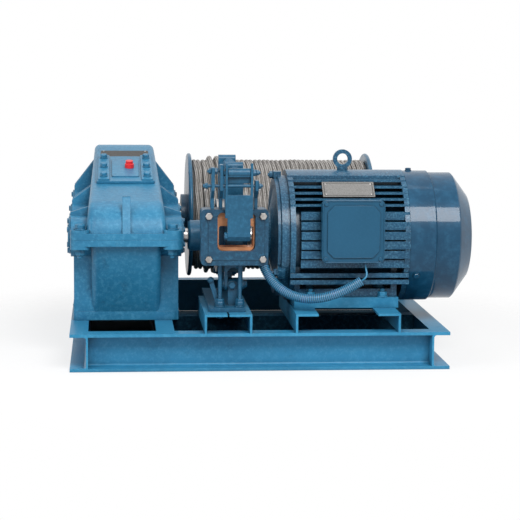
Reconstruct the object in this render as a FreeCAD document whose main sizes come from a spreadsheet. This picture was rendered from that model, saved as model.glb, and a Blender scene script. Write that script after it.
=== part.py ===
# Mooring winch: welded channel base, parallel-shaft gearbox, rope drum, motor and magnet block brake.
# X runs along the shafts, Y from the motor side to the drum side, Z up. The origin is on the ground, in
# the middle of the whole machine's box.
import FreeCAD, Part
import math
import os
import Sketcher

Vector = FreeCAD.Vector
Rotation = FreeCAD.Rotation
Placement = FreeCAD.Placement

doc = FreeCAD.newDocument("MooringWinch")

cells = {
    # welded base of rolled channels
    "base_length": 1004,
    "base_depth": 1028,
    "base_shift": -34.5,
    "beam_height": 100,
    "beam_flange": 48,
    "beam_web": 5.3,
    "beam_flange_thickness": 8.5,
    "beam_root": 7,
    "middle_beam_inset": 275,
    "cross_beam_setback": 278,
    # shaft lines
    "input_setback": 245,
    "centre_distance": 545,
    "first_stage": 218,
    # gearbox
    "gearbox_inset": 150,
    "gearbox_width": 187,
    "gearbox_corner": 16,
    "input_case_radius": 100,
    "output_case_radius": 212,
    "boss_reach": 150,
    "input_boss_radius": 57,
    "middle_boss_radius": 72,
    "output_boss_radius": 83,
    "cap_thickness": 10,
    "cap_margin": 8,
    "split_flange_width": 300,
    "split_flange_thickness": 17.5,
    "split_flange_margin": 12,
    "flange_ear_length": 52,
    "flange_ear_thickness": 26,
    "flange_bolt_radius": 8,
    "gearbox_foot_width": 290,
    "gearbox_foot_height": 24,
    "gearbox_foot_setback": 76,
    "case_bottom_taper": 85,
    "case_split_width": 222,
    "case_lean": 24,
    "pedestal_width": 44,
    "rib_thickness": 12,
    "lug_width": 22,
    "lug_reach": 26,
    "lug_height": 96,
    "cover_width": 164,
    "cover_length": 252,
    "cover_setback": 155,
    "cover_thickness": 8,
    "cover_pad_width": 32,
    "cover_pad_height": 5,
    "plug_radius": 13,
    "plug_height": 20,
    "plate_thickness": 2,
    "gear_plate_width": 139,
    "gear_plate_length": 76,
    # high-speed shaft, coupling and brake wheel
    "input_shaft_radius": 20,
    "hub_gap": 8,
    "hub_length": 41,
    "hub_radius": 42,
    "wheel_gap": 36,
    "wheel_radius": 100,
    "wheel_width": 78,
    "wheel_rim": 12,
    "wheel_web": 14,
    "wheel_hub_radius": 40,
    "running_gap": 0.05,
    "seat_gap": 0.3,
    # brake stand
    "angle_leg": 50,
    "angle_shelf": 60,
    "angle_thickness": 6,
    "brake_stand_offset": -19.5,
    "brake_angle_span": 125,
    "brake_angle_length": 326,
    "brake_plate_width": 96,
    "brake_plate_thickness": 10,
    "brake_plate_front": 40,
    "brake_plate_length": 368,
    # brake arms, shoes and rod
    "arm_pin_height": 55,
    "arm_pin_spread": 136,
    "arm_pin_radius": 8,
    "arm_thickness": 22,
    "arm_width": 48,
    "arm_plate": 8,
    "arm_fork_height": 46,
    "fork_gap": 1,
    "pin_wall": 9,
    "arm_head_height": 212,
    "shoe_gap": 0.6,
    "shoe_half_height": 62,
    "rod_height": 191,
    "rod_radius": 7,
    "rod_clearance": 5,
    "spring_radius": 17,
    "spring_wire": 4,
    # brake magnet
    "yoke_setback": 27,
    "yoke_depth": 60,
    "yoke_width": 177,
    "yoke_offset": -2.5,
    "yoke_bottom": 276,
    "yoke_height": 148,
    "yoke_corner": 11,
    "yoke_opening_width": 99,
    "yoke_opening_top": 9,
    "yoke_opening_bottom": 38,
    "yoke_opening_chamfer": 8,
    "yoke_rim_width": 24,
    "yoke_rim_height": 2,
    "yoke_opening_corner": 14,
    "coil_gap": 1,
    "coil_wall": 3,
    "coil_bottom_wall": 9,
    "coil_top_wall": 36,
    "coil_depth": 46,
    "stud_radius": 5.3,
    "stud_spread": 53,
    "stud_setback": 72,
    "stud_offset": -11.5,
    "nut_radius": 12,
    "nut_height": 9,
    "armature_offset": 6.5,
    "armature_setback": 3,
    "armature_width": 60,
    "armature_thickness": 17,
    "armature_bottom": 342,
    "armature_height": 121,
    "armature_chamfer": 12,
    "armature_plate": 6,
    "armature_pivot_height": 157,
    "armature_top": 216,
    "armature_pin_radius": 4.5,
    "bracket_thickness": 8,
    "bracket_gap": 6,
    "bracket_spread": 14,
    "bracket_top": 212,
    # motor
    "motor_gap": 53,
    "motor_centre_height": 152,
    "bedplate_thickness": 28,
    "motor_radius": 181,
    "motor_core_radius": 148,
    "motor_frame_length": 321,
    "frame_ring_width": 14,
    "frame_ring_radius": 178,
    "crown_width": 124,
    "side_rib_count": 6,
    "side_rib_pitch": 25.5,
    "side_rib_thickness": 21.5,
    "side_rib_middle": 6,
    "top_fin_count": 5,
    "top_fin_pitch": 15,
    "top_fin_thickness": 6,
    "top_fin_first": 97,
    "rail_thickness": 12,
    "rail_reach": 160,
    "rail_level": 84,
    "rail_pitch": 18,
    "shield_length": 58,
    "shield_radius": 158,
    "shield_nose_radius": 62,
    "shield_nose_length": 16,
    "shield_ear_width": 28,
    "shield_ear_reach": 177,
    "shield_ear_length": 20,
    "side_pad_length": 130,
    "side_pad_height": 140,
    "foot_length": 279,
    "foot_inset": 14,
    "foot_height": 22,
    "foot_width": 64,
    "foot_spread": 196,
    "foot_web": 16,
    "foot_bolt_radius": 7,
    "foot_bolt_spacing": 194,
    "bedplate_length": 282,
    "bedplate_overhang": 15,
    "motor_angle_length": 445,
    "fan_cover_length": 178,
    "fan_cover_radius": 179,
    "fan_cover_step": 5,
    "fan_cover_first": 73,
    "fan_cover_second": 66,
    "fan_grille_radius": 118,
    "grille_depth": 14,
    "grille_bar": 4,
    "grille_pitch": 14,
    "grille_rings": 6,
    "grille_spokes": 8,
    "fan_cover_wall": 4,
    "box_length": 160,
    "box_height": 160,
    "box_centre_height": 36,
    "box_place": 159,
    "box_front": 22,
    "box_corner": 14,
    "box_cover_thickness": 12,
    "box_panel_thickness": 4,
    "box_panel_inset": 12,
    "box_panel_chamfer": 17,
    "eye_place": 158,
    "eye_radius": 20.5,
    "eye_wire": 5.5,
    "eye_collar_radius": 15,
    "eye_collar_height": 8,
    "eye_boss_depth": 20,
    "motor_plate_length": 140,
    "motor_plate_height": 55,
    "motor_plate_lean": 41,
    # drum
    "drum_gap": 30,
    "drum_clearance": 39,
    "drum_barrel_radius": 104,
    "drum_barrel_wall": 14,
    "drum_flange_radius": 187,
    "drum_flange_thickness": 12,
    "drum_shaft_radius": 35,
    "drum_hub_radius": 62,
    "drum_hub_length": 18,
    "rope_radius": 6.5,
    "rope_layers": 5,
    "rope_bulge": 4,
    "rope_hump_count": 8,
    "rope_hump_depth": 5,
    "pedestal_thickness": 46,
    "pedestal_foot": 210,
    "pedestal_top": 130,
    "housing_radius": 66,
    "housing_length": 56,
    # flexible hose and lead
    "hose_radius": 13,
    "lead_radius": 2.6,
    "gland_radius": 17,
    "gland_height": 22,
    "lead_gland_radius": 8,
    "lead_gland_height": 8,
    "lead_gland_setback": 31,
    "lead_gland_offset": 35.5,
    "hose_start_offset": 70.5,
    "hose_clip_width": 16,
}

sheet = doc.addObject("Spreadsheet::Sheet", "Sizes")
for row, (name, value) in enumerate(cells.items(), start=1):
    sheet.set("A%d" % row, name)
    sheet.set("B%d" % row, str(value))
    sheet.setAlias("B%d" % row, name)
doc.recompute()


class Size:
    """A number together with the sheet expression that gives it."""

    def __init__(self, value, text):
        self.value = float(value)
        self.text = text

    def __add__(self, other):
        other = as_size(other)
        return Size(self.value + other.value, "(%s + %s)" % (self.text, other.text))

    def __radd__(self, other):
        return as_size(other) + self

    def __sub__(self, other):
        other = as_size(other)
        return Size(self.value - other.value, "(%s - %s)" % (self.text, other.text))

    def __rsub__(self, other):
        return as_size(other) - self

    def __mul__(self, other):
        other = as_size(other)
        return Size(self.value * other.value, "%s * %s" % (self.text, other.text))

    def __rmul__(self, other):
        return as_size(other) * self

    def __truediv__(self, other):
        other = as_size(other)
        return Size(self.value / other.value, "%s / (%s)" % (self.text, other.text))

    def __neg__(self):
        return Size(-self.value, "(0 - %s)" % self.text)

    def root(self):
        return Size(math.sqrt(self.value), "sqrt(%s)" % self.text)


def as_size(number):
    return number if isinstance(number, Size) else Size(number, repr(float(number)))


class Sheet:
    """Every named size of the sheet as an attribute."""


size = Sheet()
for name in cells:
    setattr(size, name, Size(getattr(sheet, name), "Sizes." + name))


def bind(thing, prop, length):
    thing.setExpression(prop, as_size(length).text)


def new_body(label):
    body = doc.addObject("PartDesign::Body", label)
    body.Label = label
    return body


def new_sketch(body, plane, offset):
    """A sketch on one of the body's own planes, moved along the plane's normal."""
    sketch = body.newObject("Sketcher::SketchObject", body.Label + "_outline")
    base = [f for f in body.Origin.OriginFeatures if f.Role == plane + "_Plane"][0]
    sketch.AttachmentSupport = [(base, "")]
    sketch.MapMode = "FlatFace"
    bind(sketch, "AttachmentOffset.Base.z", offset)
    return sketch


def arc_between(start, end, radius):
    """The shorter arc of a signed radius: over zero it turns to the left on its way."""
    chord = end - start
    half = chord.Length / 2
    rise = math.sqrt(max(radius * radius - half * half, 0.0))
    left = Vector(-chord.y, chord.x, 0).normalize()
    centre = start + chord * 0.5 + left * math.copysign(rise, radius)
    middle = centre - left * math.copysign(abs(radius), radius)
    return Part.Arc(start, middle, end)


def constrain_point(sketch, geometry, end, u, v):
    for kind, place, axis in (("DistanceX", u, -2), ("DistanceY", v, -1)):
        if abs(place.value) < 1e-9:
            sketch.addConstraint(Sketcher.Constraint("PointOnObject", geometry, end, axis))
        else:
            rule = Sketcher.Constraint(kind, -1, 1, geometry, end, place.value)
            index = sketch.addConstraint(rule)
            bind(sketch, "Constraints[%d]" % index, place)


def draw(sketch, points):
    """A closed outline. A point is (u, v), or (u, v, radius) where an arc leads to it."""
    points = [tuple(as_size(part) for part in point) for point in points]
    count = len(points)
    first = sketch.GeometryCount
    ends = []
    for i in range(count):
        start = Vector(points[i][0].value, points[i][1].value, 0)
        goal = points[(i + 1) % count]
        end = Vector(goal[0].value, goal[1].value, 0)
        if len(goal) == 2:
            sketch.addGeometry(Part.LineSegment(start, end), False)
            ends.append((1, 2))
        else:
            sketch.addGeometry(arc_between(start, end, goal[2].value), False)
            ends.append((1, 2) if goal[2].value > 0 else (2, 1))
    for i in range(count):
        after = (i + 1) % count
        join = Sketcher.Constraint(
            "Coincident", first + i, ends[i][1], first + after, ends[after][0]
        )
        sketch.addConstraint(join)
    for i in range(count):
        constrain_point(sketch, first + i, ends[i][0], points[i][0], points[i][1])
        goal = points[(i + 1) % count]
        if len(goal) == 3:
            radius = goal[2] if goal[2].value > 0 else -goal[2]
            rule = Sketcher.Constraint("Radius", first + i, radius.value)
            bind(sketch, "Constraints[%d]" % sketch.addConstraint(rule), radius)


def draw_circles(sketch, circles):
    for u, v, radius in circles:
        u, v, radius = as_size(u), as_size(v), as_size(radius)
        circle = Part.Circle(Vector(u.value, v.value, 0), Vector(0, 0, 1), radius.value)
        index = sketch.addGeometry(circle, False)
        constrain_point(sketch, index, 3, u, v)
        rule = sketch.addConstraint(Sketcher.Constraint("Radius", index, radius.value))
        bind(sketch, "Constraints[%d]" % rule, radius)


def shape_sketch(body, plane, outline, offset):
    sketch = new_sketch(body, plane, offset)
    if isinstance(outline, Circles):
        draw_circles(sketch, outline)
    elif isinstance(outline, Outlines):
        for part in outline:
            draw(sketch, part)
    else:
        draw(sketch, outline)
    return sketch


class Circles(list):
    """Circles for one sketch, each (u, v, radius)."""


class Outlines(list):
    """Several closed outlines for one sketch."""


def pad(body, plane, outline, low, high):
    """Adds the outline's prism between two places along the plane's axis."""
    low, high = as_size(low), as_size(high)
    sketch = shape_sketch(body, plane, outline, -high if plane == "XZ" else low)
    feature = body.newObject("PartDesign::Pad", body.Label + "_pad")
    feature.Profile = sketch
    bind(feature, "Length", high - low)
    return feature


def pocket(body, plane, outline, low, high):
    """Cuts the outline's prism between two places along the plane's axis."""
    low, high = as_size(low), as_size(high)
    sketch = shape_sketch(body, plane, outline, -low if plane == "XZ" else high)
    feature = body.newObject("PartDesign::Pocket", body.Label + "_pocket")
    feature.Profile = sketch
    bind(feature, "Length", high - low)
    return feature


def turn(body, outline):
    """Revolves an outline of (x, radius) points, or several, about the body's own X axis."""
    sketch = shape_sketch(body, "XZ", outline, 0)
    feature = body.newObject("PartDesign::Revolution", body.Label + "_turn")
    feature.Profile = sketch
    feature.ReferenceAxis = (sketch, ["H_Axis"])
    feature.Angle = 360
    return feature


def soften(body, feature, radius, wanted):
    """Rounds the edges of the feature that the test picks."""
    doc.recompute()
    names = []
    for number, edge in enumerate(feature.Shape.Edges, start=1):
        if wanted(edge):
            names.append("Edge%d" % number)
    fillet = body.newObject("PartDesign::Fillet", body.Label + "_round")
    fillet.Base = (feature, names)
    bind(fillet, "Radius", radius)
    return fillet


def place(thing, x, y, z):
    for axis, length in (("x", x), ("y", y), ("z", z)):
        bind(thing, "Placement.Base." + axis, length)


def box_outline(u0, v0, u1, v1):
    return [(u0, v0), (u1, v0), (u1, v1), (u0, v1)]


def round_box_outline(u0, v0, u1, v1, radius):
    u0, v0, u1, v1 = [as_size(part) for part in (u0, v0, u1, v1)]
    return [
        (u0 + radius, v0, radius),
        (u1 - radius, v0),
        (u1, v0 + radius, radius),
        (u1, v1 - radius),
        (u1 - radius, v1, radius),
        (u0 + radius, v1),
        (u0, v1 - radius, radius),
        (u0, v0 + radius),
    ]


# places worked out from the sizes
base_left = size.base_shift - size.base_length / 2
base_right = size.base_shift + size.base_length / 2
front = -size.base_depth / 2
rear = size.base_depth / 2
deck = size.beam_height
input_y = front + size.input_setback
middle_y = input_y + size.first_stage
output_y = input_y + size.centre_distance
stand_top = deck + size.angle_leg
axis_z = stand_top + size.bedplate_thickness + size.motor_centre_height


# ---- base ----
def channel_outline(back, side):
    """Section of a channel standing on the ground, its back at one place and its flanges to one side."""
    web = size.beam_web
    flange = size.beam_flange_thickness
    root = size.beam_root
    reach = size.beam_flange
    top = size.beam_height

    def across(length):
        return back + length if side > 0 else back - length

    return [
        (back, 0),
        (across(reach), 0),
        (across(reach), flange),
        (across(web + root), flange),
        (across(web), flange + root, -root if side > 0 else root),
        (across(web), top - flange - root),
        (across(web + root), top - flange, -root if side > 0 else root),
        (across(reach), top - flange),
        (across(reach), top),
        (back, top),
    ]


def make_base():
    left_back = base_left + size.beam_flange
    right_back = base_right - size.beam_flange
    front_back = front + size.beam_flange
    rear_back = rear - size.beam_flange
    middle_face = left_back + size.middle_beam_inset - size.beam_flange
    pad(new_body("left_end_beam"), "XZ", channel_outline(left_back, -1), front, rear)
    pad(new_body("right_end_beam"), "XZ", channel_outline(right_back, 1), front, rear)
    pad(new_body("front_beam"), "YZ", channel_outline(front_back, -1), left_back, right_back)
    pad(new_body("rear_beam"), "YZ", channel_outline(rear_back, 1), left_back, right_back)
    pad(new_body("middle_cross_beam"), "XZ", channel_outline(middle_face, -1), front_back, rear_back)
    cross = front + size.cross_beam_setback
    pad(new_body("intermediate_beam"), "YZ", channel_outline(cross, 1), middle_face, right_back)


# ---- gearbox ----
gear_x = base_left + size.gearbox_inset
case_left = gear_x - size.gearbox_width / 2
case_right = gear_x + size.gearbox_width / 2
shafts = (
    (input_y, size.input_boss_radius),
    (middle_y, size.middle_boss_radius),
    (output_y, size.output_boss_radius),
)
case_front = input_y - size.input_case_radius
case_rear = output_y + size.output_case_radius
# the top of the case is the common tangent of the two rounds about the first and last shafts
slope_sine = (size.output_case_radius - size.input_case_radius) / size.centre_distance
slope_cosine = (1 - slope_sine * slope_sine).root()
slope_foot_y = input_y - size.input_case_radius * slope_sine
slope_foot_z = axis_z + size.input_case_radius * slope_cosine
slope_angle = math.degrees(math.asin(slope_sine.value))


def half_boss(y, radius, upper):
    """Half of a bearing boss's round end, on one side of the split."""
    if upper:
        return [(y + radius, axis_z), (y, axis_z + radius, radius), (y - radius, axis_z, radius)]
    return [(y - radius, axis_z), (y, axis_z - radius, radius), (y + radius, axis_z, radius)]


def split_flange(body, low, high, ear_low, ear_high):
    half = size.split_flange_width / 2
    flange_front = case_front - size.split_flange_margin
    flange_rear = case_rear + size.split_flange_margin
    outline = round_box_outline(
        gear_x - half, flange_front, gear_x + half, flange_rear, size.gearbox_corner
    )
    pad(body, "XY", outline, low, high)
    ear = size.flange_ear_length
    for side in (-1, 1):
        outer = gear_x + half * side
        inner = gear_x + (half - ear) * side
        edges = (outer, inner) if side < 0 else (inner, outer)
        for y0, y1 in ((flange_front, flange_front + ear), (flange_rear - ear, flange_rear)):
            corner = round_box_outline(edges[0], y0, edges[1], y1, size.gearbox_corner)
            pad(body, "XY", corner, ear_low, ear_high)


def make_gearbox_lower():
    body = new_body("gearbox_lower_case")
    taper = size.case_bottom_taper
    side = [
        (case_front, axis_z),
        (case_front + taper, deck),
        (case_rear - taper, deck),
        (case_rear, axis_z),
    ]
    box = pad(body, "YZ", side, case_left, case_right)

    def upright(edge):
        run = edge.Vertexes[-1].Point - edge.Vertexes[0].Point
        return abs(run.x) < 1e-6 and abs(run.z) > 1

    soften(body, box, size.gearbox_corner, upright)
    split_flange(
        body,
        axis_z - size.split_flange_thickness,
        axis_z,
        axis_z - size.flange_ear_thickness,
        axis_z,
    )
    for y, radius in shafts:
        outline = half_boss(y, radius, False)
        pad(body, "YZ", outline, gear_x - size.boss_reach, gear_x + size.boss_reach)
        half = size.pedestal_width / 2
        column = box_outline(y - half, deck, y + half, axis_z - radius / 2)
        reach = size.boss_reach - size.cap_margin
        pad(body, "YZ", column, gear_x - reach, gear_x + reach)
    foot = size.gearbox_foot_width / 2
    foot_front = case_front + size.gearbox_foot_setback
    foot_rear = case_rear - size.gearbox_foot_setback
    sole = round_box_outline(
        gear_x - foot, foot_front, gear_x + foot, foot_rear, size.gearbox_corner
    )
    pad(body, "XY", sole, deck, deck + size.gearbox_foot_height)


# how far above its boss each rib meets the case, and where the ribs stand along it
RIB_RISES = (30, 58, 96)
RIB_SPREADS = ((0,), (-20, 20), (-26, 26))


def make_gearbox_upper():
    body = new_body("gearbox_upper_case")
    small = size.input_case_radius
    large = size.output_case_radius
    crest = axis_z + large
    side = [
        (case_rear, axis_z),
        (output_y, crest, large),
        (output_y - large * slope_sine, axis_z + large * slope_cosine, large),
        (slope_foot_y, slope_foot_z),
        (case_front, axis_z, small),
    ]
    wide = size.case_split_width / 2
    pad(body, "YZ", side, gear_x - wide, gear_x + wide)
    # both sides lean inwards above the split
    lean = Outlines()
    for sign in (-1, 1):
        edge = gear_x + wide * sign
        out = edge + size.case_lean * sign
        lean.append([(edge, axis_z), (out, axis_z), (out, crest + 1), (edge - size.case_lean * sign, crest + 1)])
    leaning = pocket(body, "XZ", lean, case_front - 1, case_rear + 1)

    def shoulder(edge):
        off = abs(edge.CenterOfMass.x - gear_x.value)
        return off > wide.value / 2 and max(v.Point.z for v in edge.Vertexes) > axis_z.value + 1

    soften(body, leaning, size.gearbox_corner, shoulder)
    split_flange(
        body,
        axis_z,
        axis_z + size.split_flange_thickness,
        axis_z,
        axis_z + size.flange_ear_thickness,
    )
    for y, radius in shafts:
        outline = half_boss(y, radius, True)
        pad(body, "YZ", outline, gear_x - size.boss_reach, gear_x + size.boss_reach)
    # ribs run from the case's side down to the bosses, the last pair twice as wide apart
    inner = size.cover_width / 2
    reach = size.boss_reach
    half = size.rib_thickness / 2
    for (y, radius), rise, spread in zip(shafts, RIB_RISES, RIB_SPREADS):
        top = axis_z + radius
        for sign in (-1, 1):
            rib = [
                (gear_x + inner * sign, top - 20),
                (gear_x + reach * sign, top - 20),
                (gear_x + reach * sign, top + 8),
                (gear_x + inner * sign, top + rise),
            ]
            for offset in spread:
                pad(body, "XZ", rib, y + offset - half, y + offset + half)
    lug = size.lug_width / 2
    flange_top = axis_z + size.split_flange_thickness
    nose = [
        (case_front - size.split_flange_margin / 2, flange_top),
        (case_front + size.lug_reach, flange_top),
        (case_front + size.lug_reach + 8, flange_top + size.lug_height),
    ]
    pad(body, "YZ", nose, gear_x - lug, gear_x + lug)


def make_bearing_caps():
    """Six covers bolted over the bearing bosses; three on the right let a shaft through or are blind."""
    body = new_body("gearbox_bearing_caps")
    reach = size.boss_reach
    thick = size.cap_thickness
    gap = size.running_gap
    holes = (size.input_shaft_radius + gap, None, size.drum_shaft_radius + gap)
    for (y, radius), hole in zip(shafts, holes):
        disc = Circles([(y, axis_z, radius - size.cap_margin)])
        pad(body, "YZ", disc, gear_x - reach - thick, gear_x - reach)
        right = Circles([(y, axis_z, radius - size.cap_margin)])
        if hole:
            right.append((y, axis_z, hole))
        pad(body, "YZ", right, gear_x + reach, gear_x + reach + thick)


def on_slope(along):
    """Y and Z of the place on the case's sloping top at a distance up the slope from its foot."""
    return (
        slope_foot_y + along * slope_cosine,
        slope_foot_z + along * slope_sine,
    )


def lay_on_slope(thing, along):
    """Puts a flat piece on the sloping top, its own Y up the slope."""
    thing.Placement = Placement(Vector(0, 0, 0), Rotation(Vector(1, 0, 0), slope_angle))
    y, z = on_slope(along)
    place(thing, gear_x, y, z)


def make_gearbox_top():
    half = size.cover_width / 2
    cover = new_body("inspection_cover")
    plate = round_box_outline(-half, 0, half, size.cover_length, 10)
    pad(cover, "XY", plate, 0, size.cover_thickness)
    inset = 5
    for side in (-1, 1):
        near = half - inset - size.cover_pad_width
        edges = (-half + inset, -near) if side < 0 else (near, half - inset)
        strip = round_box_outline(edges[0], inset, edges[1], size.cover_length - inset, 4)
        pad(cover, "XY", strip, size.cover_thickness, size.cover_thickness + size.cover_pad_height)
    centre = half - size.cover_pad_width - 12
    panel = round_box_outline(-centre, 40, centre, size.cover_length - 40, 6)
    pad(cover, "XY", panel, size.cover_thickness, size.cover_thickness + 3)
    lay_on_slope(cover, as_size(size.cover_setback))
    plug = new_body("breather_plug")
    radius = size.plug_radius
    top = size.plug_height
    profile = [
        (0, 0),
        (radius, 0),
        (radius, top * 0.55),
        (radius * 0.8, top * 0.6),
        (radius * 0.8, top),
        (0, top),
    ]
    sketch = new_sketch(plug, "XZ", 0)
    draw(sketch, profile)
    spin = plug.newObject("PartDesign::Revolution", "breather_plug_turn")
    spin.Profile = sketch
    spin.ReferenceAxis = (sketch, ["V_Axis"])
    spin.Angle = 360
    plug.Placement = Placement(Vector(0, 0, 0), Rotation(Vector(1, 0, 0), slope_angle))
    y, z = on_slope(size.cover_setback + size.cover_length / 2)
    lift = size.cover_thickness + 3
    place(plug, gear_x + 12, y - lift * slope_sine, z + lift * slope_cosine)
    badge = new_body("gearbox_nameplate")
    wide = size.gear_plate_width / 2
    outline = round_box_outline(-wide, 0, wide, size.gear_plate_length, 4)
    pad(badge, "XY", outline, 0, size.plate_thickness)
    lay_on_slope(badge, size.cover_setback + size.cover_length + 6)


# ---- high-speed shaft with its coupling hub and brake wheel ----
cap_face = gear_x + size.boss_reach + size.cap_thickness
hub_left = cap_face + size.hub_gap
hub_right = hub_left + size.hub_length
wheel_left = hub_right + size.wheel_gap
wheel_right = wheel_left + size.wheel_width
wheel_x = wheel_left + size.wheel_width / 2
motor_x = wheel_right + size.motor_gap


def make_high_speed_shaft():
    shaft = new_body("input_shaft")
    radius = size.input_shaft_radius
    start = gear_x + size.boss_reach
    pad(shaft, "YZ", Circles([(input_y, axis_z, radius)]), start + 1, motor_x - size.seat_gap)
    hub = new_body("coupling_hub")
    hub_profile = [
        (hub_left, radius),
        (hub_right, radius),
        (hub_right, size.hub_radius),
        (hub_left + 6, size.hub_radius),
        (hub_left, size.hub_radius - 6),
    ]
    turn(hub, hub_profile)
    place(hub, 0, input_y, axis_z)
    wheel = new_body("brake_wheel")
    web = size.wheel_web / 2
    rim = size.wheel_radius - size.wheel_rim
    boss = size.wheel_hub_radius
    profile = [
        (hub_right, radius),
        (wheel_right, radius),
        (wheel_right, boss),
        (wheel_x + web, boss),
        (wheel_x + web, rim),
        (wheel_right, rim),
        (wheel_right, size.wheel_radius),
        (wheel_left, size.wheel_radius),
        (wheel_left, rim),
        (wheel_x - web, rim),
        (wheel_x - web, boss),
        (hub_right, boss),
    ]
    turn(wheel, profile)
    place(wheel, 0, input_y, axis_z)


# ---- brake ----
def angle_outline(outer, side):
    """Section of an angle iron: its upright leg outside, its shelf on top pointing to the middle."""
    thick = size.angle_thickness

    def across(length):
        return outer + length if side > 0 else outer - length

    return [
        (outer, deck),
        (across(thick), deck),
        (across(thick), stand_top - thick),
        (across(size.angle_shelf), stand_top - thick),
        (across(size.angle_shelf), stand_top),
        (outer, stand_top),
    ]


def make_angle_pair(name, left, right, length):
    for side, outer, word in ((1, left, "left"), (-1, right, "right")):
        body = new_body("%s_angle_%s" % (name, word))
        pad(body, "XZ", angle_outline(outer, side), front, front + length)


stand_x = wheel_x + size.brake_stand_offset
plate_top = stand_top + size.brake_plate_thickness
pin_z = plate_top + size.arm_pin_height
fork_half = size.arm_width / 2 - size.arm_plate


def make_brake_base():
    half = size.brake_angle_span / 2
    make_angle_pair("brake", stand_x - half, stand_x + half, size.brake_angle_length)
    body = new_body("brake_base")
    wide = size.brake_plate_width / 2
    plate_front = front + size.brake_plate_front
    outline = box_outline(
        stand_x - wide, plate_front, stand_x + wide, plate_front + size.brake_plate_length
    )
    pad(body, "XY", outline, stand_top, plate_top)
    lug = fork_half - size.fork_gap
    radius = size.arm_pin_radius + size.pin_wall
    for side in (-1, 1):
        y = input_y + size.arm_pin_spread * side
        upright = [
            (y - radius, plate_top),
            (y + radius, plate_top),
            (y + radius, pin_z),
            (y, pin_z + radius, radius),
            (y - radius, pin_z, radius),
        ]
        pad(body, "YZ", upright, wheel_x - lug, wheel_x + lug)
        hole = Circles([(y, pin_z, size.arm_pin_radius)])
        pocket(body, "YZ", hole, wheel_x - lug - 1, wheel_x + lug + 1)
    pins = new_body("brake_pins")
    reach = size.arm_width / 2 + size.pin_wall / 2
    for side in (-1, 1):
        y = input_y + size.arm_pin_spread * side
        pin = Circles([(y, pin_z, size.arm_pin_radius)])
        pad(pins, "YZ", pin, wheel_x - reach, wheel_x + reach)
        for end in (-1, 1):
            near = wheel_x + (size.arm_width / 2 + size.running_gap) * end
            far = wheel_x + reach * end
            head = Circles([(y, pin_z, size.arm_pin_radius + size.pin_wall / 2)])
            pad(pins, "YZ", head, near if end > 0 else far, far if end > 0 else near)


def make_brake_arm(name, side):
    """A lever forked at its foot that presses its shoe on the wheel; its head is bored for the rod."""
    y = input_y + size.arm_pin_spread * side
    half = size.arm_thickness / 2
    foot = size.arm_pin_radius + size.pin_wall
    head = axis_z + size.arm_head_height
    body = new_body("brake_%s_arm" % name)
    outline = [
        (y - foot, pin_z),
        (y, pin_z - foot, foot),
        (y + foot, pin_z, foot),
        (y + half, pin_z + 2 * foot),
        (y + half, head - half),
        (y, head, half),
        (y - half, head - half, half),
        (y - half, pin_z + 2 * foot),
    ]
    wide = size.arm_width / 2
    pad(body, "YZ", outline, wheel_x - wide, wheel_x + wide)
    fork_top = pin_z + size.arm_fork_height
    slot = [
        (wheel_x - fork_half, pin_z - 2 * foot),
        (wheel_x + fork_half, pin_z - 2 * foot),
        (wheel_x + fork_half, fork_top - fork_half),
        (wheel_x, fork_top, fork_half),
        (wheel_x - fork_half, fork_top - fork_half, fork_half),
    ]
    pocket(body, "XZ", slot, y - 2 * foot, y + 2 * foot)
    bore = size.arm_pin_radius + size.running_gap
    pocket(body, "YZ", Circles([(y, pin_z, bore)]), wheel_x - wide - 1, wheel_x + wide + 1)
    rod_bore = size.rod_radius if side < 0 else size.rod_radius + size.rod_clearance
    hole = Circles([(wheel_x, axis_z + size.rod_height, rod_bore)])
    pocket(body, "XZ", hole, y - 2 * half, y + 2 * half)
    shoe = new_body("brake_%s_shoe" % name)
    inner = size.wheel_radius + size.shoe_gap
    tall = size.shoe_half_height
    edge = input_y + (inner * inner - tall * tall).root() * side
    back = y - half * side
    block = [
        (back, axis_z - tall * side),
        (back, axis_z + tall * side),
        (edge, axis_z + tall * side),
        (edge, axis_z - tall * side, -inner),
    ]
    reach = size.wheel_width / 2 - 1
    pad(shoe, "YZ", block, wheel_x - reach, wheel_x + reach)


def make_brake_rod():
    """The rod that joins the arms' heads, with the spring that pulls them together."""
    rod = new_body("brake_rod")
    z = axis_z + size.rod_height
    arm = size.arm_pin_spread
    start = input_y - arm - size.arm_thickness / 2 - 28
    end = input_y + arm + size.arm_thickness / 2 + 38
    pad(rod, "XZ", Circles([(wheel_x, z, size.rod_radius)]), start, end)
    collar = Circles([(wheel_x, z, size.nut_radius)])
    inner = input_y + arm / 2
    pad(rod, "XZ", collar, inner, inner + size.nut_height)
    spring = new_body("brake_spring")
    tube = Circles([(wheel_x, z, size.spring_radius)])
    tube.append((wheel_x, z, size.spring_radius - size.spring_wire))
    pad(spring, "XZ", tube, input_y - arm + size.arm_thickness / 2, inner)


yoke_x = wheel_x + size.yoke_offset
yoke_front = front + size.yoke_setback
yoke_rear = yoke_front + size.yoke_depth
yoke_top = size.yoke_bottom + size.yoke_height
opening_left = yoke_x - size.yoke_opening_width / 2 + 4
opening_right = opening_left + size.yoke_opening_width
opening_bottom = size.yoke_bottom + size.yoke_opening_bottom
opening_top = yoke_top - size.yoke_opening_top
pivot_y = front + size.armature_setback + size.armature_thickness / 2
pivot_z = axis_z + size.armature_pivot_height
armature_x = wheel_x + size.armature_offset


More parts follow.
